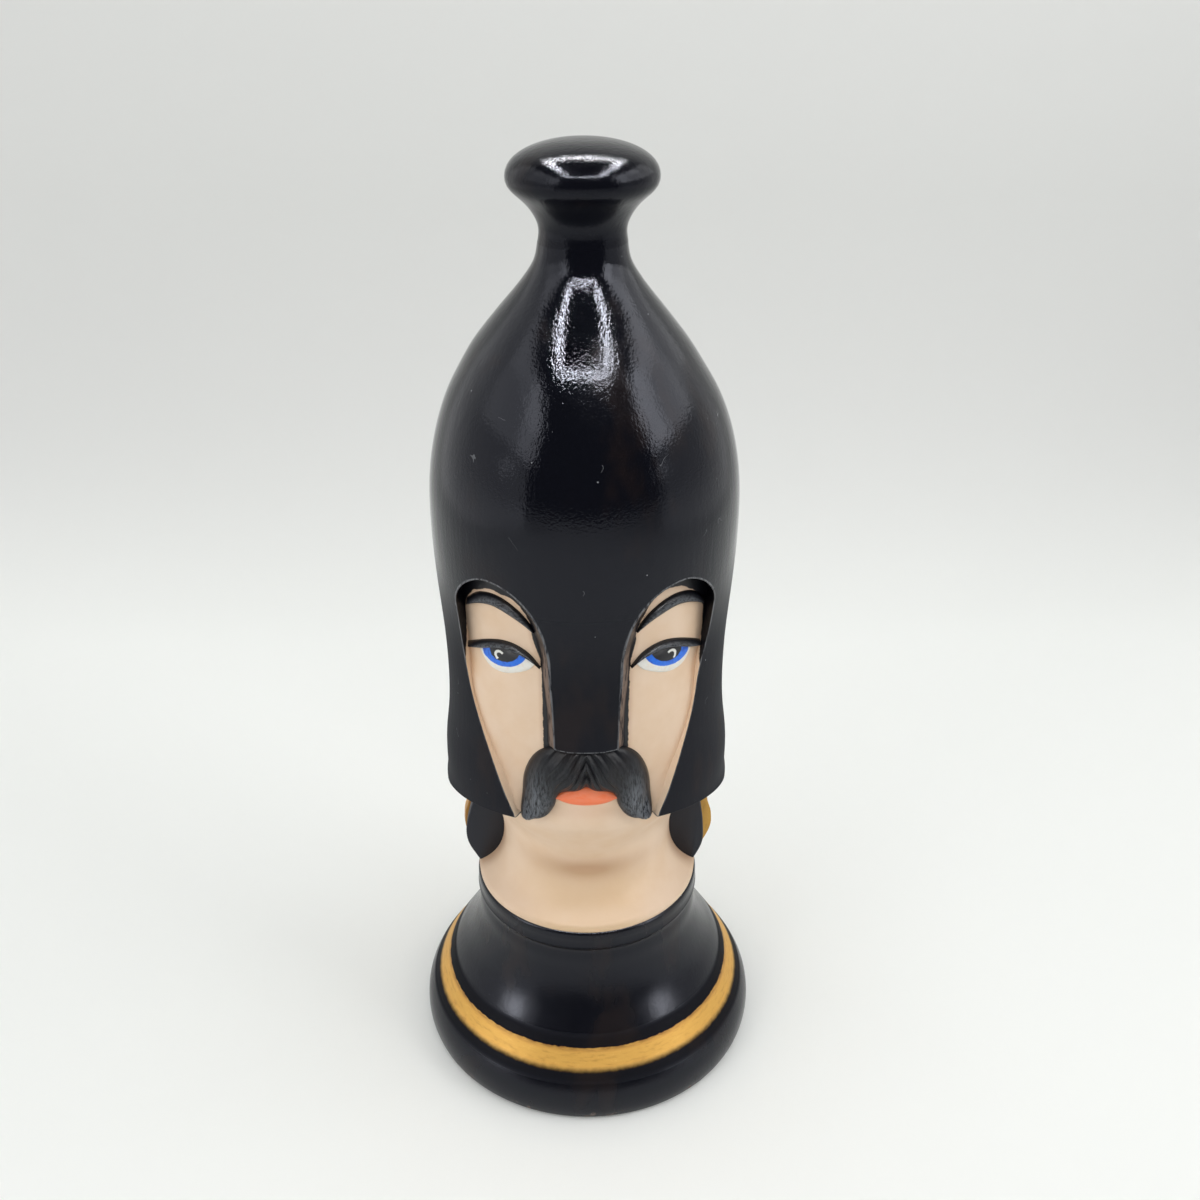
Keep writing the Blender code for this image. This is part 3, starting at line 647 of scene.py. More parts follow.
def make_flesh():
    """Flesh of the face and neck, edged in black at the helmet, with painted shade in brown along that edge,
    beside the flaps, under the jaw and on the lower neck.
    """
    material, tree = new_paint("face_flesh")
    edge = attribute(tree, "flesh")
    # Painted shade: brown just inside the flesh's edge, along the helmet.
    tint = mix(ramp(edge, 0.0, 0.7, 1.0, 0.0) * 0.25, flesh_coat(tree), FLESH_SHADE_AND_DUST)
    # Painted shade beside the flaps and a painted shadow under the jaw, kept on the mesh as shade.
    tint = mix(attribute(tree, "shade") * 0.85, tint, FLESH_SHADE_AND_DUST)
    across, _, up = axes(tree)
    # Painted shade: the front of the lower neck darker and warmer.
    low = ramp(up, 27.0 * MM, 42.0 * MM, 0.75, 0.0)
    tint = mix(low * ramp(abs(across), 4.0 * MM, 11.0 * MM, 1.0, 0.15), tint, NECK_PAINTED_SHADE)
    specks = use_effect(tree, dust, spacing=2.6, size=0.03, share=0.1)["Specks"]
    tint = mix(specks * 0.3, tint, FLESH_SHADE_AND_DUST)
    skin = use_effect(tree, ragged_edge, distance=edge, wave=0.3, softness=0.06)["Mask"]
    marks = use_effect(tree, brush_marks, peel=0.7, streaks=0.6)
    rough = ramp(marks["Patches"], 0.3, 0.7, 0.42, 0.56)
    return coated(material, mix(skin, BLACK, tint), rough, marks["Height"], 0.006)


def make_gilt_band():
    """Gilt line round the base: ragged above, fading below into the black."""
    material, tree = new_paint("band_gilt")
    gilt, strokes = gold_coat(tree, (0.4, 0.4, 2.0))
    black, rough, height = black_coat(tree, 0.5, 0.1)
    across = attribute(tree, "across")
    upper = use_effect(tree, ragged_edge, distance=2.6 - across, wave=0.35, softness=0.05)["Mask"]
    lower = use_effect(tree, ragged_edge, distance=across, wave=0.3, softness=0.45)["Mask"]
    cover = upper * lower
    # Painted shade: darker gilt along the band's upper edge, under the bell.
    shade = ramp(across, 1.9, 2.6) * ramp(strokes, 0.3, 0.6)
    tint = mix(cover, black, mix(shade * 0.9, gilt, GOLD_DARK))
    gloss = {"Metallic": cover * 0.3, "Specular IOR Level": ramp(cover, 0.0, 1.0, 0.06, 0.45)}
    return coated(material, tint, most(rough, cover * 0.44), height + strokes, 0.014, gloss)


def make_gilt_cloth():
    """Gilt paint over the folds of the neck curtain, with painted shade in the hollows of the folds and along
    its inside.
    """
    material, tree = new_paint("curtain_gilt")
    gilt, strokes = gold_coat(tree, (1.0, 1.0, 0.3))
    tint = mix(ramp(attribute(tree, "hollow"), 0.2, 1.0) * 0.75, gilt, GOLD_DARK)
    metal = ramp(strokes, 0.3, 0.7, 0.2, 0.34)
    return coated(material, tint, ramp(strokes, 0.3, 0.7, 0.5, 0.4), strokes, 0.03, {"Metallic": metal})


def make_coral():
    """Coral of the lip, paler along the middle."""
    material, tree = new_paint("lip_coral")
    strokes = grain(tree, 0.5, 3.0, 0.6, (0.4, 1.0, 1.0))
    share = ramp(attribute(tree, "across"), 0.15, 0.6, 0.0, 0.5) * ramp(strokes, 0.3, 0.65)
    return coated(material, mix(share, CORAL, CORAL_LIGHT), ramp(strokes, 0.3, 0.7, 0.38, 0.5), strokes, 0.02)


def ellipse(across, up, middle, reach):
    """How far a point lies from the middle of an ellipse, as a share of its reach."""
    run = (across - middle[0]) / reach[0]
    rise = (up - middle[1]) / reach[1]
    return maths('SQRT', run * run + rise * rise)


def make_eye_paint():
    """Eye white with a blue iris, a black pupil and a curved stroke of white."""
    material, tree = new_paint("eye_paint")
    from_middle, _, height = axes(tree)
    wave = (grain(tree, 0.6) - 0.5) * 0.2
    across = abs(from_middle) / MM + wave
    level = height / MM - wave
    up = level + (across - IRIS_MIDDLE[0]) * EYE_SLANT
    iris = ramp(ellipse(across, up, IRIS_MIDDLE, IRIS_REACH), 0.98, 1.02, 1.0, 0.0)
    pupil = ramp(ellipse(across, up, IRIS_MIDDLE, PUPIL_REACH), 0.97, 1.03, 1.0, 0.0)
    ring = ellipse(across, level, GLINT_MIDDLE, (GLINT_REACH, GLINT_REACH))
    slant = across - GLINT_MIDDLE[0] + (level - GLINT_MIDDLE[1]) * 0.75
    stroke = ramp(ring, 0.68, 0.8) * ramp(ring, 1.2, 1.32, 1.0, 0.0) * ramp(slant, -0.12, 0.02)
    tone = grain(tree, 0.5)
    white = mix(ramp(tone, 0.4, 0.8, 0.0, 0.3), EYE_WHITE, FLESH_SHADE)
    blue = mix(ramp(tone, 0.45, 0.7), IRIS_BLUE, IRIS_DEEP)
    tint = mix(stroke, mix(pupil, mix(iris, white, blue), BLACK), EYE_WHITE)
    return coated(material, tint, ramp(tone, 0.3, 0.7, 0.3, 0.42), tone, 0.01)


def make_felt():
    """Green felt: matted fibres."""
    material, tree = new_paint("green_felt")
    fibres = grain(tree, 0.35, 4.0, 0.7, (1.0, 1.0, 0.5))
    tint = mix(ramp(fibres, 0.35, 0.65), FELT_DARK, FELT_GREEN)
    return coated(material, tint, ramp(fibres, 0.3, 0.7, 0.95, 0.85), fibres, 0.15, {"Sheen Weight": 0.4})


def make_plaster():
    """Cast plaster of the ballast: chalky, with small pores."""
    material, tree = new_paint("ballast_plaster")
    cloud = grain(tree, 3.0, 4.0, 0.6)
    pores = use_effect(tree, dust, spacing=1.4, size=0.16, share=0.3)["Specks"]
    tint = mix(pores * 0.6, mix(ramp(cloud, 0.35, 0.65), PLASTER, PLASTER_DARK), PLASTER_DARK)
    return coated(material, tint, ramp(cloud, 0.3, 0.7, 0.85, 0.95), cloud - pores, 0.12)


helmet_gloss = make_helmet_gloss()
knob_gloss = make_plain_black("knob_gloss", 0.13, 0.3, 0.026, 0.2)
base_black = make_base_black()
flap_black = make_plain_black("flap_black", 0.5, 0.1, 0.008, 0.5)
hair_black = make_dry_brush_and_highlight("moustache_black", 0.85, (1.0, 1.0, 0.18))
line_black = make_dry_brush_and_highlight("brow_black", 0.6, (0.4, 1.0, 1.0))
face_flesh = make_flesh()
band_gilt = make_gilt_band()
curtain_gilt = make_gilt_cloth()
lip_coral = make_coral()
eye_paint = make_eye_paint()
green_felt = make_felt()
ballast_plaster = make_plaster()


# Helmet and finial
CHEEK_POINT = (9.45 * MM, 48.8 * MM)
TEMPLE = (16.1 * MM, 77.2 * MM)
ARCH_CROWN = (11.8 * MM, 82.4 * MM)
NASAL_ROOT = (4.4 * MM, 72.5 * MM)
NASAL_CORNER = (4.05 * MM, NASAL_FOOT)
CHEEK_LEAN = 0.45 * MM
OPENING_STEPS = 60
OPENING_TOP = ARCH_CROWN[1] + 3.0 * MM
FACE_TOP = 86.0 * MM
FAR_FROM_RIM = 9.0
FAR_FROM_FLESH = 5.0
WALL_SEAT = FACE_RADIUS - 0.3 * MM
RIM_RINGS = ((0.05, 0.00), (0.10, 0.02), (0.15, 0.06), (0.20, 0.12),
             (0.26, 0.20), (0.45, 0.42), (0.72, 0.70), (1.0, 1.0))
HEM_RINGS = ((0.02, 0.10), (0.08, 0.19), (0.16, 0.26), (0.26, 0.30),
             (0.45, 0.30), (0.7, 0.30), (1.0, 0.30), (1.25, -5.0))


def bow(start, start_share, end_share, end):
    """A bowed stretch of the opening, with its handles at shares of the way from its start to its end."""
    handles = [(between(start[0], end[0], across), between(start[1], end[1], up))
               for across, up in (start_share, end_share)]
    return bezier(start, *handles, end, OPENING_STEPS)


def opening_outline():
    """Face opening seen from the front, as (x, z): two arched eye holes joined below the nasal guard."""
    below = HELMET_HEM - 4.0 * MM
    side = [
        (CHEEK_POINT[0] - 0.25 * (CHEEK_POINT[1] - below), below),
        *bow(CHEEK_POINT, (0.6, 0.33), (0.85, 0.66), TEMPLE),
        *bow(TEMPLE, (0.0, 0.52), (0.56, 1.0), ARCH_CROWN),
        *bow(ARCH_CROWN, (0.49, 0.0), (0.93, 0.38), NASAL_ROOT),
        *bezier(NASAL_ROOT, (NASAL_ROOT[0], NASAL_ROOT[1] - 3.0 * MM),
                (NASAL_CORNER[0], NASAL_CORNER[1] + 4.0 * MM), NASAL_CORNER, OPENING_STEPS),
        NASAL_CORNER,
        (2.2 * MM, NASAL_FOOT - 0.26 * MM),
    ]
    return [(x - cheek_lean(x, z), z) for x, z in side + mirrored(reversed(side))]


def cheek_lean(x, z):
    """How far the cheek edges lean to the left, as the casting's do."""
    spread = bump(z, 64.0 * MM, 8.0 * MM) if x < 0.0 else bump(z, 67.5 * MM, 4.0 * MM)
    return CHEEK_LEAN * spread * ease(6.0 * MM, 9.0 * MM, abs(x))


def near_nasal(x):
    """1 on the nasal guard, falling to 0 beside it."""
    return 1.0 - ease(5.0 * MM, 8.0 * MM, abs(x))


def wall_inset(x, z):
    """How far the wall of the opening runs inwards: most along the nasal, least at the temples."""
    temple = ease(64.0 * MM, 69.0 * MM, z)
    arch = ease(77.0 * MM, 80.0 * MM, z)
    return between(between(between(1.0, 0.85, temple), 1.35, arch), 1.65, near_nasal(x)) * MM


# Painted flesh of each half of the face, in millimetres seen from the front
FLESH_BELOW = ((26.0, 20.0), (26.0, 48.2), (13.0, 48.3), (17.0, 60.0))
FLESH_LEFT = (*FLESH_BELOW, (17.0, 66.0), (15.3, 67.3), (15.1, 72.0), (15.2, 75.0), (15.0, 76.3),
              (13.9, 78.4), (12.2, 79.5), (11.2, 79.8), (10.7, 79.6), (9.6, 79.5), (8.7, 79.3), (7.9, 78.6),
              (7.2, 77.7), (6.7, 76.6), (6.5, 74.8), (6.3, 74.0), (5.6, 72.2), (5.4, 70.0), (5.4, 59.0),
              (4.6, 57.0), (0.0, 56.0))
FLESH_RIGHT = (*FLESH_BELOW, (17.0, 64.0), (14.6, 65.5), (14.4, 69.0), (14.8, 72.5), (14.9, 75.3),
               (14.3, 76.5), (13.5, 78.4), (11.9, 79.9), (10.6, 80.2), (9.5, 80.2), (8.6, 79.7), (7.8, 78.8),
               (7.1, 77.6), (6.2, 75.8), (6.1, 73.9), (5.6, 72.0), (5.4, 70.0), (5.3, 59.0), (4.6, 57.0),
               (0.0, 56.0))


def flesh_distance(places):
    """How far points lie inside the painted flesh, in millimetres seen from the front."""
    outline = millimetres(FLESH_RIGHT) + mirrored(millimetres(reversed(FLESH_LEFT[:-1])))
    inside, distance, _, _ = measure(np.stack((places[:, 0], places[:, 2]), axis=1), outline)
    return np.clip(np.where(inside, distance, -distance) / MM, -FAR_FROM_FLESH, FAR_FROM_FLESH)


def millimetres(points):
    """Points written in millimetres."""
    return [(x * MM, z * MM) for x, z in points]


def tower_rows():
    """Rows of the finial and of the helmet, from one smooth line that is parted at their seam."""
    seam = HELMET_TOP + 0.15 * MM
    knob = outline_of("finial_knob", (0.0, KNOB_TOP), (5.15 * MM, HELMET_TOP + 1.4 * MM))
    shell = outline_of("helmet", (5.6 * MM, HELMET_TOP - 1.7 * MM), (18.3 * MM, HELMET_HEM))
    seat = outline_of("helmet", (5.3 * MM, HELMET_TOP), (5.6 * MM, HELMET_TOP - 1.7 * MM))[0]
    line = SmoothLine([*knob, (seat[0], seam), *shell])

    def row_step(height):
        if abs(height - seam) < 0.3 * MM:
            return 0.06 * MM
        return FINE_ROW if height < OPENING_TOP else 0.55 * MM

    rows = line.rows(row_step)
    upper = [row for row in rows if row[1] > seam]
    lower = [row for row in rows if row[1] < seam]
    joint = (np.interp(seam, (lower[0][1], upper[-1][1]), (lower[0][0], upper[-1][0])), seam)
    return upper + [joint], [joint] + lower


def hem_level(turn, radius_at):
    """Height of the hem at a turn: a sloping cut in front that runs out into the level hem at the back."""
    front = CHEEK_POINT[1] - 0.1 * MM
    slope = math.tan(math.radians(15.0))
    level = np.full_like(turn, front)
    for _ in range(4):
        depth = -radius_at(level) * np.cos(turn)
        cut = front - (depth + radius_at(front)) * slope
        soft = 0.35 * MM
        level = HELMET_HEM + soft * np.logaddexp(0.0, (cut - HELMET_HEM) / soft)
    return level


def make_helmet(rows):
    """Gloss shell with the face opening cut in, its rim rounded and its wall run down to the face."""
    turned = radius_along(rows)

    def radius_at(level):
        hem = 0.4 * MM * bump(level, HELMET_HEM + 2.2 * MM, 1.6 * MM)
        shoulder = -0.34 * MM * bump(level, 105.4 * MM, 3.4 * MM)
        return turned(level) + hem + shoulder

    skin = lathe(rows, ((FRONT_TURN, FRONT_STEPS), (360.0 - FRONT_TURN, BACK_STEPS)), -FRONT_TURN / 2.0)
    places = places_of(skin)
    turn = np.arctan2(places[:, 0], -places[:, 1])
    level = places[:, 2]
    bottom = level.min()
    last_row = level < bottom + HAIR
    hem = hem_level(turn, radius_at) + 0.3 * MM
    fall = np.clip((OPENING_TOP - level) / (OPENING_TOP - bottom), 0.0, 1.0)
    level = np.where(level < OPENING_TOP, OPENING_TOP - fall * (OPENING_TOP - hem), level)
    sheet = np.stack((FACE_RADIUS * turn, level), axis=1)
    outline = opening_outline()
    flat = [(FACE_RADIUS * math.asin(x / radius_at(z)), z) for x, z in outline]
    near = np.where((np.abs(turn) < math.radians(FRONT_TURN / 2.0 - 2.0)) & (level < OPENING_TOP))[0]
    inside, distance, nearest, _ = measure(sheet[near], flat)
    step = math.radians(FRONT_TURN / FRONT_STEPS) * FACE_RADIUS
    side = np.ones(len(sheet), int)
    side[near] = np.where(inside, -1, 1)
    close = distance <= 0.5 * max(step, FINE_ROW) * 1.02
    snapped = near[close]
    side[snapped] = 0
    sheet[snapped] = nearest[close]
    rim = np.full(len(sheet), FAR_FROM_RIM)
    rim[near] = np.minimum(distance / MM, FAR_FROM_RIM)
    rim[snapped] = 0.0
    turn = sheet[:, 0] / FACE_RADIUS
    level = sheet[:, 1]
    radius = radius_at(level)
    lean = -0.3 * MM * bump(level, 107.0 * MM, 7.5 * MM)
    move_to(skin, np.stack((radius * np.sin(turn) + lean, -radius * np.cos(turn), level), axis=1))
    add_layer(skin, "rim", rim)
    for name in ("wall", "cheek", "nasal"):
        add_layer(skin, name, np.zeros(len(sheet)))
    for face in list(skin.faces):
        sides = [side[corner.index] for corner in face.verts]
        if 1 in sides and -1 in sides:
            held = [corner for corner in face.verts if side[corner.index] == 0]
            if len(held) == 2:
                bmesh.utils.face_split(face, held[0], held[1])
    cut_away = []
    for face in skin.faces:
        sides = [side[corner.index] for corner in face.verts]
        if -1 in sides:
            cut_away.append(face)
        elif 1 not in sides:
            middle = face.calc_center_median()
            spot = np.array([[FACE_RADIUS * math.atan2(middle.x, -middle.y), middle.z]])
            if measure(spot, flat)[0][0]:
                cut_away.append(face)
    hem_corners = {skin.verts[index] for index in np.where(last_row)[0]}
    bmesh.ops.delete(skin, geom=cut_away, context='FACES')
    run_walls(skin, outline, hem_corners)
    return skin


def run_walls(skin, outline, hem_corners):
    """Round the open rim of the helmet and run its wall inwards, and close the crown."""
    loose = open_edges(skin)
    crown = [edge for edge in loose if edge.verts[0].co.z > HELMET_TOP]
    rim_edges = [edge for edge in loose if edge.verts[0].co.z <= HELMET_TOP]
    corners = list({corner for edge in rim_edges for corner in edge.verts})
    front = np.array([(corner.co.x, corner.co.z) for corner in corners])
    inward = measure(front, outline)[3]
    facts = {}
    for corner, (x, z), (way_x, way_z) in zip(corners, front, inward):
        facts[corner] = (x, corner.co.y, z, way_x, way_z, corner in hem_corners)
    wall, cheek, nasal, rim = [skin.verts.layers.float[name] for name in ("wall", "cheek", "nasal", "rim")]
    for (share, depth), (hem_share, hem_drop) in zip(RIM_RINGS, HEM_RINGS):
        fresh = {}

        def place(corner, source):
            x, y, z, way_x, way_z, on_hem = facts[source]
            outer = math.hypot(x, y)
            if on_hem:
                radius = between(outer, FACE_RADIUS, hem_share)
                corner.co = (x * radius / outer, y * radius / outer, z - hem_drop * MM)
            else:
                soft = 1.0 - ease(64.0 * MM, 70.0 * MM, z)
                inset = wall_inset(x, z) * between(share, 1.1 * share ** 1.7, soft)
                radius = between(outer, WALL_SEAT, depth)
                new_x = x + way_x * inset
                back = math.sqrt(max(radius * radius - new_x * new_x, 0.0))
                corner.co = (new_x, -back, z + way_z * inset)
                corner[wall] = share
                corner[nasal] = near_nasal(x)
                corner[cheek] = (1.0 - ease(66.0 * MM, 70.0 * MM, z)) * (1.0 - corner[nasal])
                corner[rim] = 0.0
            fresh[corner] = facts[source]

        rim_edges = extrude_rim(skin, rim_edges, place)
        facts = fresh
    bmesh.ops.holes_fill(skin, edges=crown, sides=0)
    face_outwards(skin)
    places = places_of(skin)
    flesh = np.full(len(places), -FAR_FROM_FLESH)
    front = np.where((places[:, 1] < 0.0) & (places[:, 2] < FACE_TOP))[0]
    flesh[front] = flesh_distance(places[front])
    add_layer(skin, "flesh", flesh)


def make_finial(rows):
    """Knob and stem, closed by a short plug inside the crown."""
    radius, level = rows[-1]
    plug_line = [(0.85 * radius, level), (0.5 * radius, level - 0.6 * MM), (0.0, level - 0.6 * MM)]
    return lathe(rows + plug_line, ((360.0, KNOB_STEPS),))


finial_rows, helmet_rows = tower_rows()
add_piece("helmet_shell", make_helmet(helmet_rows), helmet_gloss, ["helmet"], "black_gloss", 70.0)
add_piece("finial", make_finial(finial_rows), knob_gloss, ["finial_knob"], "black_gloss", 50.0)


# Head and neck
SHOULDER = (16.1 * MM, COLLAR_TOP + 0.8 * MM)


def head_rows():
    """Line of the head from the crown to the shoulder, then inside the collar to the axis."""
    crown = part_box("head")[1].z
    line = outline_of("head", (0.0, crown), SHOULDER)

    def row_step(height):
        return 0.33 * MM if 32.0 * MM < height < 84.0 * MM else COARSE_ROW

    rows = SmoothLine(line).rows(row_step)
    foot = COLLAR_TOP - 0.8 * MM
    return rows + [(SHOULDER[0] - 0.05 * MM, COLLAR_TOP), (SHOULDER[0] - 0.6 * MM, foot), (0.0, foot)]


GUARD_LEVELS = (48.7, 52.0, 55.0, 58.0, 61.0, 64.0, 68.0)
GUARD_EDGES = (9.4, 10.6, 11.6, 12.5, 13.4, 14.1, 14.6)


def face_relief(x, z):
    """How far the face stands proud of its turned form."""
    across = x / MM
    up = z / MM
    side = np.abs(across)
    eyeball = 0.35 * bump(side, 9.4, 3.6) * bump(up, 70.6, 2.6)
    socket = -0.35 * bump(side, 8.5, 4.5) * bump(up, 75.0, 2.2)
    cheekbone = 0.25 * bump(side, 9.5, 3.5) * bump(up, 64.0, 4.0)
    hollow = -0.2 * bump(side, 8.5, 2.5) * bump(up, 57.0, 4.0)
    from_chin = np.hypot(across / 10.0, (up - 44.6) / 7.2)
    jaw = 0.75 * (1.0 - ease(0.58, 1.08, from_chin)) * (1.0 - ease(45.5, 50.5, up))
    under_lip = -0.3 * bump(across, 0.0, 4.0) * bump(up, 49.3, 0.9)
    from_guard = np.interp(up, GUARD_LEVELS, GUARD_EDGES) - side
    beside = (1.0 - ease(0.3, 2.8, from_guard)) * (1.0 - ease(1.5, 4.5, -from_guard))
    cove = (0.6 + 1.1 * (1.0 - ease(48.5, 53.5, up))) * beside
    cove = cove * (1.0 - ease(64.0, 70.0, up)) * ease(43.5, 48.5, up)
    return (eyeball + socket + cheekbone + hollow + jaw + under_lip + cove) * MM


def make_head():
    """Face, skull and neck with the soft modelling of the casting."""
    sectors = ((FRONT_TURN, HEAD_FRONT_STEPS), (360.0 - FRONT_TURN, HEAD_BACK_STEPS))
    skin = lathe(head_rows(), sectors, -FRONT_TURN / 2.0)
    places = places_of(skin)
    radius = np.hypot(places[:, 0], places[:, 1])
    front = places[:, 1] < 0.0
    raised = np.where(front, face_relief(places[:, 0], places[:, 2]), 0.0)
    stretch = np.where(radius > HAIR, (radius + raised) / np.maximum(radius, HAIR), 1.0)
    places[:, :2] *= stretch[:, None]
    move_to(skin, places)
    flesh = np.full(len(places), FAR_FROM_FLESH)
    near = np.where(front & (places[:, 2] < FACE_TOP) & (places[:, 2] > 40.0 * MM))[0]
    flesh[near] = flesh_distance(places[near])
    add_layer(skin, "flesh", flesh)
    add_layer(skin, "shade", neck_shade(places))
    return skin


def neck_shade(places):
    """Where painted shade darkens the neck: beside the flaps, and a painted shadow under the jaw."""
    across = np.abs(places[:, 0]) / MM
    depth = places[:, 1] / MM
    up = places[:, 2] / MM
    beside = 0.6 * ease(-4.2, -1.6, depth) * (1.0 - ease(42.0, 46.0, up))
    throat = 1.15 * bump(across, 0.0, 6.2) * bump(up, 35.0, 1.8) * (depth < 0.0)
    return np.clip(beside + throat, 0.0, 1.0)


head_line = radius_along(head_rows()[:-3])


def face_at(x, z):
    """Radius of the face at a point seen from the front."""
    return head_line(z) + face_relief(x, z)


add_piece("head_skin", make_head(), face_flesh, ["head"], "flesh_paint")


# Reliefs of the face
def back_of_strip(along, across):
    """How much dry-brushed grey and painted highlight a plain strip takes: most along its back."""
    return hump(across, 2.0) * hump(along, 0.5)


def relief(lower, upper, steps, height, ridge=back_of_strip):
    """A raised patch of the face between a lower and an upper edge, seated in the face and closed behind."""
    shape = bmesh.new()
    bmesh.ops.create_grid(shape, x_segments=steps[0], y_segments=steps[1], size=0.5)
    shape.verts.index_update()
    across_layer = shape.verts.layers.float.new("across")
    ridge_layer = shape.verts.layers.float.new("ridge")
    lower_line = SmoothLine(lower)
    upper_line = SmoothLine(upper)
    for corner in shape.verts:
        along = corner.co.x + 0.5
        across = corner.co.y + 0.5
        low = lower_line.at(along * lower_line.length)
        high = upper_line.at(along * upper_line.length)
        x = between(low[0], high[0], across)
        z = between(low[1], high[1], across)
        radius = face_at(x, z) + height(along, across)
        corner.co = (x, -math.sqrt(radius * radius - x * x), z)
        corner[across_layer] = across
        corner[ridge_layer] = ridge(along, across)
    edges = open_edges(shape)

    def sink(corner, source):
        x, y, z = source.co
        share = 1.0 - 0.9 * MM / math.hypot(x, y)
        corner.co = (x * share, y * share, z)

    back = extrude_rim(shape, edges, sink)
    bmesh.ops.holes_fill(shape, edges=back, sides=0)
    bmesh.ops.remove_doubles(shape, verts=shape.verts, dist=HAIR)
    face_outwards(shape)
    return shape


def domed(depth):
    """Height of a strip with a round back."""
    return lambda along, across: depth * MM * hump(across, 0.55)


BROW_LOWER = ((6.4, 75.5), (8.3, 76.6), (9.8, 77.25), (11.3, 77.6), (13.1, 77.15), (14.9, 76.0))
BROW_UPPER = ((6.2, 75.8), (7.4, 77.4), (9.2, 78.75), (11.0, 79.25), (13.0, 78.7), (14.9, 76.5))
LID_LOWER = ((5.7, 71.1), (7.1, 71.85), (8.5, 72.3), (10.0, 72.45), (11.3, 72.1), (13.0, 71.2), (14.9, 70.3))
LID_UPPER = ((5.6, 71.1), (6.6, 72.3), (8.0, 73.1), (9.8, 73.35), (11.6, 72.9), (13.4, 71.85), (15.0, 70.4))
EYE_LOWER = ((6.2, 71.3), (6.9, 70.4), (7.9, 69.8), (9.2, 69.2), (10.8, 68.8), (12.0, 69.0), (12.8, 69.8),
             (13.1, 70.6))
EYE_UPPER = ((6.3, 71.5), (7.4, 72.2), (8.6, 72.5), (9.8, 72.7), (11.0, 72.5), (12.0, 72.0), (12.7, 71.5),
             (13.2, 71.0))
LIP_LOWER = ((0.0, 49.95), (1.8, 50.15), (3.2, 50.65), (4.2, 51.4))
LIP_UPPER = ((0.0, 53.4), (1.4, 53.1), (2.9, 52.5), (4.2, 51.7))
MOUSTACHE_LOWER = ((0.0, 53.3), (1.0, 52.8), (2.0, 52.6), (3.3, 52.2), (3.8, 51.3), (4.0, 50.3), (4.4, 49.3),
                   (5.3, 48.2), (6.5, 47.65), (7.4, 47.5))
MOUSTACHE_UPPER = ((0.0, 59.5), (2.4, 59.5), (4.3, 59.35), (5.8, 58.5), (6.9, 57.1), (7.7, 55.3), (8.2, 53.3),
                   (8.4, 51.0), (8.6, 49.3), (8.5, 48.3), (8.0, 47.7))


def both_halves(edge):
    """An edge that runs from the middle to the right, with its mirror image on the left."""
    half = millimetres(edge)
    return mirrored(reversed(half[1:])) + half


def strand_share(along, across):
    """Place in the waves of the combed hair, which fan out from under the nasal and run down the lobes."""
    from_middle = abs(2.0 * along - 1.0)
    fan = 0.42 * (1.0 - math.exp(-from_middle / 0.26))
    sway = 0.4 * noise.noise(Vector((7.0 * along, 2.0 * across, 1.7)))
    return 3.6 * across + 10.0 * fan + sway, from_middle


def make_moustache():
    """Two combed lobes that hang from under the nasal guard."""

    def combed(along, across):
        share, from_middle = strand_share(along, across)
        tip = math.sqrt(max(1.0 - max(0.0, (from_middle - 0.84) / 0.16) ** 2, 0.0))
        body = 1.9 * hump(across, 0.42) * tip
        wave = math.sin(2.0 * math.pi * share)
        fine = math.sin(2.0 * math.pi * (2.7 * share + 0.3))
        depth = between(0.19, 0.03, ease(0.1, 0.5, from_middle)) * ease(0.0, 0.35, across)
        cleft = 0.2 * math.exp(-(from_middle / 0.045) ** 2) * (1.0 - across)
        return (body + (depth * wave + 0.35 * depth * fine - cleft) * min(1.0, body)) * MM

    # Dry-brushed grey and painted highlight on the ridges, more on the lobes than in the middle.
    def ridge(along, across):
        from_middle = strand_share(along, across)[1]
        return math.sin(math.pi * across) * between(0.08, 1.0, ease(0.3, 0.7, from_middle))

    return relief(both_halves(MOUSTACHE_LOWER), both_halves(MOUSTACHE_UPPER), HAIR_STEPS, combed, ridge)


for side, suffix in ((-1.0, "left"), (1.0, "right")):
    for name, low_edge, high_edge, depth, material, slot in (
            ("brow", BROW_LOWER, BROW_UPPER, 0.75, line_black, "black_glaze"),
            ("upper_lid", LID_LOWER, LID_UPPER, 0.8, line_black, "black_glaze"),
            ("eye", EYE_LOWER, EYE_UPPER, 0.3, eye_paint, "eye_white")):
        edges = [[(side * x * MM, z * MM) for x, z in edge] for edge in (low_edge, high_edge)]
        shape = relief(*edges, STRIP_STEPS, domed(depth))
        add_piece(name + "_relief_" + suffix, shape, material, [name + "_" + suffix], slot, 60.0)
lip = relief(both_halves(LIP_LOWER), both_halves(LIP_UPPER), LIP_STEPS, domed(0.85))
add_piece("lip_relief", lip, lip_coral, ["lower_lip"], "coral_paint", 60.0)
add_piece("moustache_relief", make_moustache(), hair_black, ["moustache"], "black_glaze", 60.0)


# Base
COLLAR_DROP = 0.55 * MM


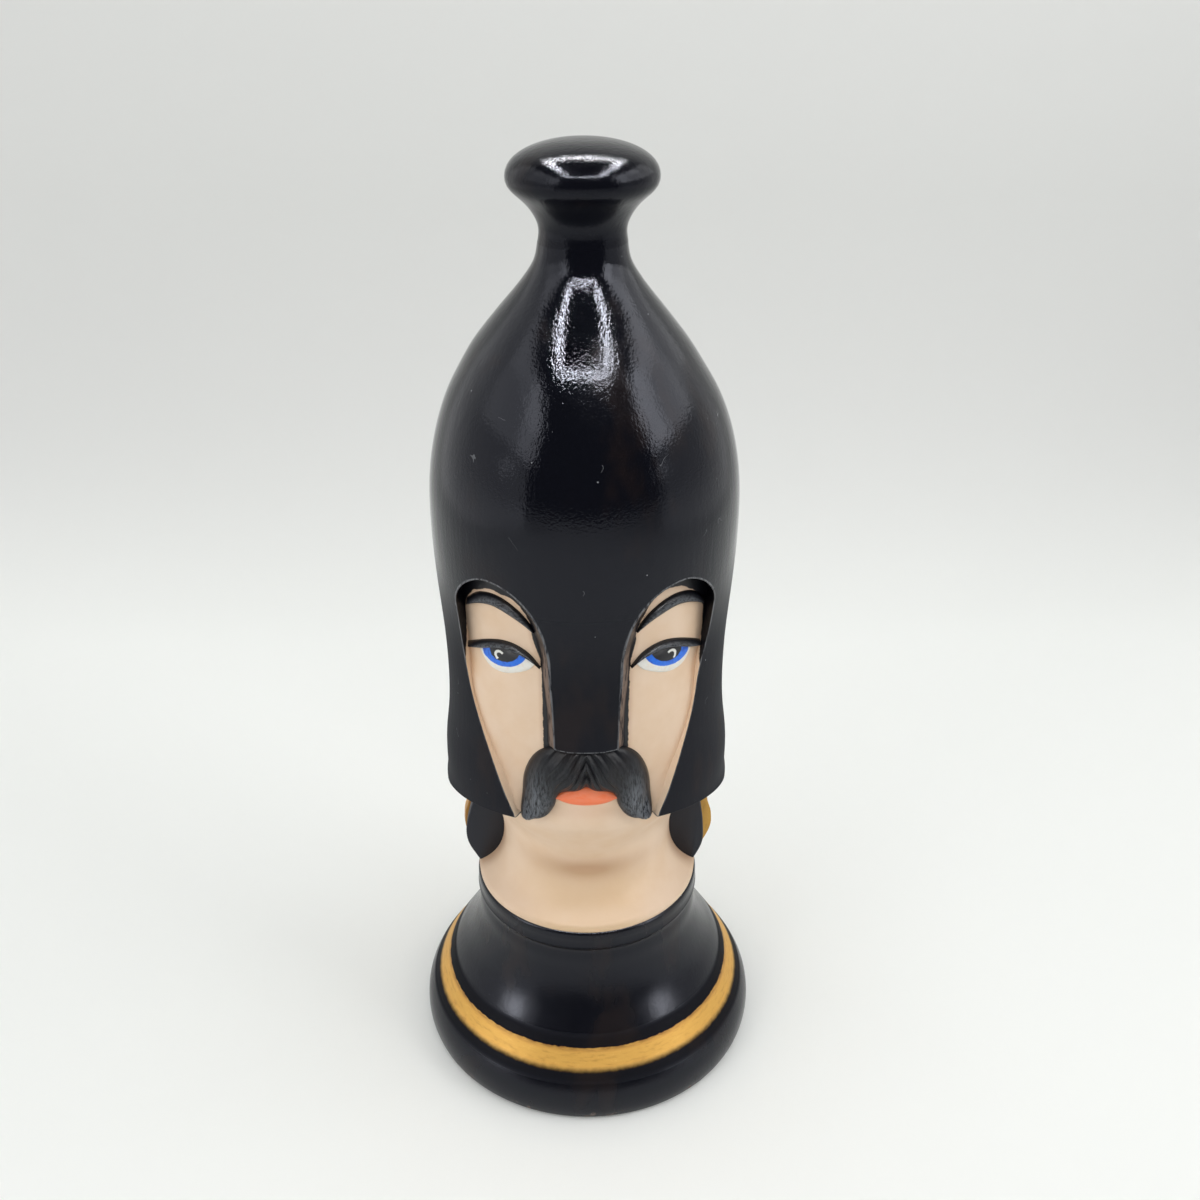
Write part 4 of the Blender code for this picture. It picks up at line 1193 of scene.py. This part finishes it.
def base_rows():
    """Line of the base from inside the collar, over the bell and the foot, to the rim round the felt."""
    line = outline_of("base_foot", (12.5 * MM, COLLAR_TOP), (22.3 * MM, BASE_BOTTOM))
    bell = [point for point in line if BAND_TOP + 0.6 * MM < point[1] < COLLAR_TOP - 2.0 * MM]
    foot = [point for point in line if point[1] < BAND_BOTTOM and point[0] > 23.0 * MM]
    collar_radius = max(radius for radius, height in line if height > COLLAR_TOP - 1.0 * MM)
    lip, crease = [(radius, height - COLLAR_DROP) for radius, height in bell[:2]]
    top = [(12.0 * MM, COLLAR_TOP), (collar_radius - 0.55 * MM, COLLAR_TOP),
           (collar_radius - 0.28 * MM, COLLAR_TOP - 0.06 * MM),
           (collar_radius - 0.08 * MM, COLLAR_TOP - 0.26 * MM), (collar_radius, COLLAR_TOP - 0.6 * MM)]
    side = [(collar_radius + 0.02 * MM, COLLAR_TOP - 1.4 * MM),
            (collar_radius - 0.02 * MM, lip[1] + 0.45 * MM), (lip[0] + 0.1 * MM, lip[1] + 0.16 * MM)]
    body = SmoothLine([lip, crease, *bell[2:], *foot]).rows(lambda height: BASE_ROW)
    edge = foot[-1]
    under = [(edge[0] - 0.25 * MM, edge[1] - 0.02 * MM), (22.3 * MM, BASE_BOTTOM),
             (22.2 * MM, BASE_BOTTOM + 0.8 * MM), (0.0, BASE_BOTTOM + 0.8 * MM)]
    return top + side + body + under


bell = lathe(base_rows(), ((360.0, BASE_STEPS),))
add_piece("base_bell", bell, base_black, ["base_foot"], "black_glaze", 50.0)


def make_band():
    """Gilt band as a thin skin of paint over the edge between bell and foot."""
    line = [point for point in base_rows() if BAND_BOTTOM - 1.2 * MM < point[1] < BAND_TOP + 1.2 * MM]
    proud = 0.03 * MM
    outer = [(radius + proud * hump(index / (len(line) - 1), 0.4), height)
             for index, (radius, height) in enumerate(line)]
    inner = [(radius - 0.5 * MM, height) for radius, height in reversed(line)]
    skin = lathe(outer + inner + [outer[0]], ((360.0, BAND_STEPS),))
    places = places_of(skin)
    add_layer(skin, "across", (places[:, 2] - BAND_BOTTOM) / MM)
    return skin


add_piece("gilt_band", make_band(), band_gilt, ["gold_band"], "gilding", 50.0)


# Neck curtain and flaps
CURTAIN_SWEEP = (172.0, 150)
CURTAIN_START = 94.0


def curtain_sections():
    """Outer and inner side of the curtain's section."""
    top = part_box("neck_curtain")[1].z
    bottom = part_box("neck_curtain")[0].z
    outer = outline_of("neck_curtain", (16.7 * MM, top), (16.4 * MM, bottom))
    inner = [(head_line(height) - 0.2 * MM, height) for height in np.linspace(bottom, top, 14)]
    return outer, inner


def make_curtain():
    """Gilt curtain round the back of the neck, in two soft rolls with upright folds."""
    outer, inner = curtain_sections()
    smooth = SmoothLine(outer).rows(lambda height: CURTAIN_ROW)
    ring = smooth + inner + [smooth[0]]
    skin = lathe(ring, (CURTAIN_SWEEP,), CURTAIN_START)
    places = places_of(skin)
    turn = np.arctan2(places[:, 0], -places[:, 1]) % (2.0 * math.pi)
    radius = np.hypot(places[:, 0], places[:, 1])
    outside = ease(0.0, 2.5 * MM, radius - head_line(places[:, 2]) - 0.4 * MM)
    folds = 0.28 * np.sin(13.0 * turn + 0.6 * np.sin(3.0 * turn)) + 0.12 * np.sin(29.0 * turn + 1.0)
    # The hollow value marks painted shade: deep in the folds' hollows and full on the side against the neck.
    add_layer(skin, "hollow", np.clip(0.5 - 1.4 * folds, 0.0, 1.0) * outside + (1.0 - outside))
    grown = 1.0 + outside * (0.1 + folds) * MM / np.maximum(radius, HAIR)
    places[:, :2] *= grown[:, None]
    move_to(skin, places)
    bmesh.ops.holes_fill(skin, edges=open_edges(skin), sides=0)
    face_outwards(skin)
    return skin


FLAP_EDGE = ((15.3, 44.9), (15.9, 41.5), (16.6, 38.4), (17.15, 36.0), (17.5, 33.2), (17.35, 31.0),
             (16.6, 29.1), (15.8, 27.5))
FLAP_LEAN = 0.3
FLAP_THICKNESS = 2.6 * MM


def make_flap(side):
    """Black flap that ends the curtain beside the neck."""
    inner = curtain_sections()[1]
    edge = [(x - side * FLAP_LEAN * bump(z, 33.5, 3.5), z) for x, z in FLAP_EDGE]
    smooth = SmoothLine(millimetres(edge)).rows(lambda height: FLAP_ROW)
    shape = bmesh.new()
    hidden = [(radius - 1.4 * MM, height) for radius, height in inner]
    front = -FLAP_THICKNESS / 2.0
    ring = [shape.verts.new((side * radius, front, height)) for radius, height in smooth + hidden]
    face = shape.faces.new(ring)
    grown = bmesh.ops.extrude_face_region(shape, geom=[face])["geom"]
    bmesh.ops.translate(shape, verts=corners_in(grown), vec=(0.0, FLAP_THICKNESS, 0.0))
    face_outwards(shape)
    sharp = [edge for edge in shape.edges if edge.calc_face_angle(0.0) > math.radians(60.0)]
    bmesh.ops.bevel(shape, geom=sharp, offset=0.3 * MM, offset_type='OFFSET', segments=3, profile=0.5,
                    affect='EDGES', material=-1)
    face_outwards(shape)
    return shape


add_piece("neck_curtain_gilt", make_curtain(), curtain_gilt, ["neck_curtain"], "gilding", 50.0)
add_piece("flap_left", make_flap(-1.0), flap_black, ["side_flap_left"], "black_glaze", 20.0)
add_piece("flap_right", make_flap(1.0), flap_black, ["side_flap_right"], "black_glaze", 20.0)


# Pieces of the frame that show as they are
for node, material in (("felt_pad", green_felt), ("ballast_weight", ballast_plaster)):
    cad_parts[node].data.materials.clear()
    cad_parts[node].data.materials.append(material)


# Studio
FLOOR_HALF_WIDTH = 2.0
FLOOR_FRONT = -0.62
BACKDROP_START = 0.125
BACKDROP_RADIUS = 0.09
BACKDROP_TOP = 0.9


def make_backdrop():
    """Pale floor that sweeps up into a backdrop; the backdrop is painted darker than the floor, and darker
    towards its top, as painted shade.
    """
    bend = [(BACKDROP_START + BACKDROP_RADIUS * math.sin(angle), BACKDROP_RADIUS * (1.0 - math.cos(angle)))
            for angle in np.linspace(0.0, math.radians(86.0), 24)]
    line = [(FLOOR_FRONT, 0.0), (-0.2, 0.0), (0.0, 0.0), *bend, (bend[-1][0] + 0.05, BACKDROP_TOP)]
    sheet = bmesh.new()
    wire = [sheet.verts.new((-FLOOR_HALF_WIDTH, y, z)) for y, z in line]
    edges = [sheet.edges.new(pair) for pair in zip(wire, wire[1:])]
    grown = bmesh.ops.extrude_edge_only(sheet, edges=edges)["geom"]
    bmesh.ops.translate(sheet, verts=corners_in(grown), vec=(2.0 * FLOOR_HALF_WIDTH, 0.0, 0.0))
    material, tree = new_paint("pale_paper")
    _, back, up = axes(tree)
    # Painted shade: the rising backdrop darker than the floor, and darker again towards its top.
    rising = ramp(back, BACKDROP_START - 0.02, BACKDROP_START + BACKDROP_RADIUS)
    shaded_wall_tint = mix(ramp(up, 0.06, 0.4), colour(209, 210, 208), colour(201, 202, 200))
    paper = coated(material, mix(rising, colour(246, 248, 245), shaded_wall_tint), 0.8)
    made = mesh_object("backdrop", sheet, paper)


def towards(place, aim):
    """How a lamp or a camera at a place is turned to face a point."""
    return (Vector(aim) - Vector(place)).to_track_quat('-Z', 'Y').to_euler()


def add_lamp(name, place, size, turn, radiance):
    """A rectangular area lamp of a brightness, turned as given."""
    lamp = bpy.data.lights.new(name, 'AREA')
    lamp.shape = 'RECTANGLE'
    lamp.size = size[0]
    lamp.size_y = size[1]
    lamp.energy = radiance * math.pi * size[0] * size[1]
    holder = bpy.data.objects.new(name, lamp)
    holder.location = place
    holder.rotation_euler = turn
    holder.visible_camera = False
    bpy.context.scene.collection.objects.link(holder)
    return holder


def light_studio():
    """A tent: a lamp frame that only the gloss shows, white sides, soft light from above and ahead."""
    level = 0.40
    strip = 0.011
    side_reach = 0.26
    for name, place, size in (
            ("frame_front", (0.01, -0.235, level), (0.25, strip)),
            ("frame_back", (0.01, 0.155, level), (0.25, strip)),
            ("frame_left", (-0.115, -0.025, level), (strip, 0.36)),
            ("frame_right", (0.135, -0.025, level), (strip, 0.36))):
        lamp = add_lamp(name, place, size, (0.0, 0.0, 0.0), 130.0)
        lamp.visible_diffuse = False
    for name, side, bottom, top, ends, radiances in (
            ("left_upper", -1.0, 0.30, 0.42, (-0.36, -0.20, 0.0, 0.22), (3.3, 2.0, 1.1)),
            ("left_middle", -1.0, 0.18, 0.30, (-0.34, -0.20, 0.0, 0.22), (2.5, 1.5, 1.0)),
            ("left_lower", -1.0, 0.005, 0.18, (-0.30, 0.22), (0.8,)),
            ("right_upper", 1.0, 0.29, 0.38, (-0.20, -0.08, 0.07, 0.22), (5.4, 4.0, 1.6)),
            ("right_middle", 1.0, 0.18, 0.29, (-0.19, -0.08, 0.07, 0.22), (4.7, 2.6, 1.4)),
            ("right_lower", 1.0, 0.005, 0.18, (-0.18, 0.22), (0.6,))):
        turn = (math.radians(90.0), 0.0, side * math.radians(90.0))
        for front, back, radiance in zip(ends, ends[1:], radiances):
            place = (side * side_reach, (front + back) / 2.0, (bottom + top) / 2.0)
            add_lamp("side_" + name, place, (back - front, top - bottom), turn, radiance)
    for name, side in (("glow_left", -1.0), ("glow_right", 1.0)):
        place = (side * 0.25, -0.15, 0.09)
        lamp = add_lamp(name, place, (0.09, 0.09), towards(place, (0.0, 0.0, -0.005)), 0.34)
        lamp.data.spread = math.radians(26.0)
        lamp.visible_diffuse = False
    for name, place, size, radiance in (("soft_top", (0.0, -0.02, 0.42), (0.3, 0.3), 1.15),
                                        ("soft_front", (0.0, -0.75, 0.35), (1.2, 0.7), 1.08)):
        lamp = add_lamp(name, place, size, towards(place, (0.0, 0.0, 0.07)), radiance)
        lamp.visible_glossy = False


def make_world():
    """Dim room: soft grey for the light it gives, nearly black where the gloss mirrors it."""
    world = bpy.data.worlds.new("studio")
    bpy.context.scene.world = world
    world.use_nodes = True
    tree = world.node_tree
    path = add_node(tree, "ShaderNodeLightPath")
    rays = {socket.name: Value(socket) for socket in path.outputs}
    mirrored_ray = most(rays["Is Glossy Ray"], rays["Is Transmission Ray"])
    glow = mix(mirrored_ray, (0.07, 0.07, 0.07, 1.0), (0.02, 0.02, 0.022, 1.0))
    glow = mix(rays["Is Camera Ray"], glow, colour(222, 223, 221))
    plug(glow, tree.nodes["Background"].inputs["Color"])
    plug(1.0, tree.nodes["Background"].inputs["Strength"])


make_world()
make_backdrop()
light_studio()

# Camera
PICTURE_WIDTH = 1200.0
SENSOR_WIDTH = 36.0
FOCUS_LENGTH = 1251.0 / PICTURE_WIDTH * SENSOR_WIDTH
CAMERA_RISE = math.radians(28.30)
CAMERA_REACH = 167.88 * MM
CAMERA_ROLL = math.radians(-0.37)
AIM_LEVEL = 71.19 * MM

lens = bpy.data.cameras.new("camera")
lens.lens = FOCUS_LENGTH
lens.sensor_width = SENSOR_WIDTH
lens.shift_x = 14.8 / PICTURE_WIDTH
lens.clip_start = 0.01
camera = bpy.data.objects.new("camera", lens)
bpy.context.scene.collection.objects.link(camera)
camera.location = (0.0, -CAMERA_REACH * math.cos(CAMERA_RISE),
                   AIM_LEVEL + CAMERA_REACH * math.sin(CAMERA_RISE))
camera.rotation_euler = towards(camera.location, (0.0, 0.0, AIM_LEVEL))
camera.rotation_euler.rotate_axis('Z', CAMERA_ROLL)
bpy.context.scene.camera = camera

bpy.context.scene.view_settings.view_transform = 'Standard'
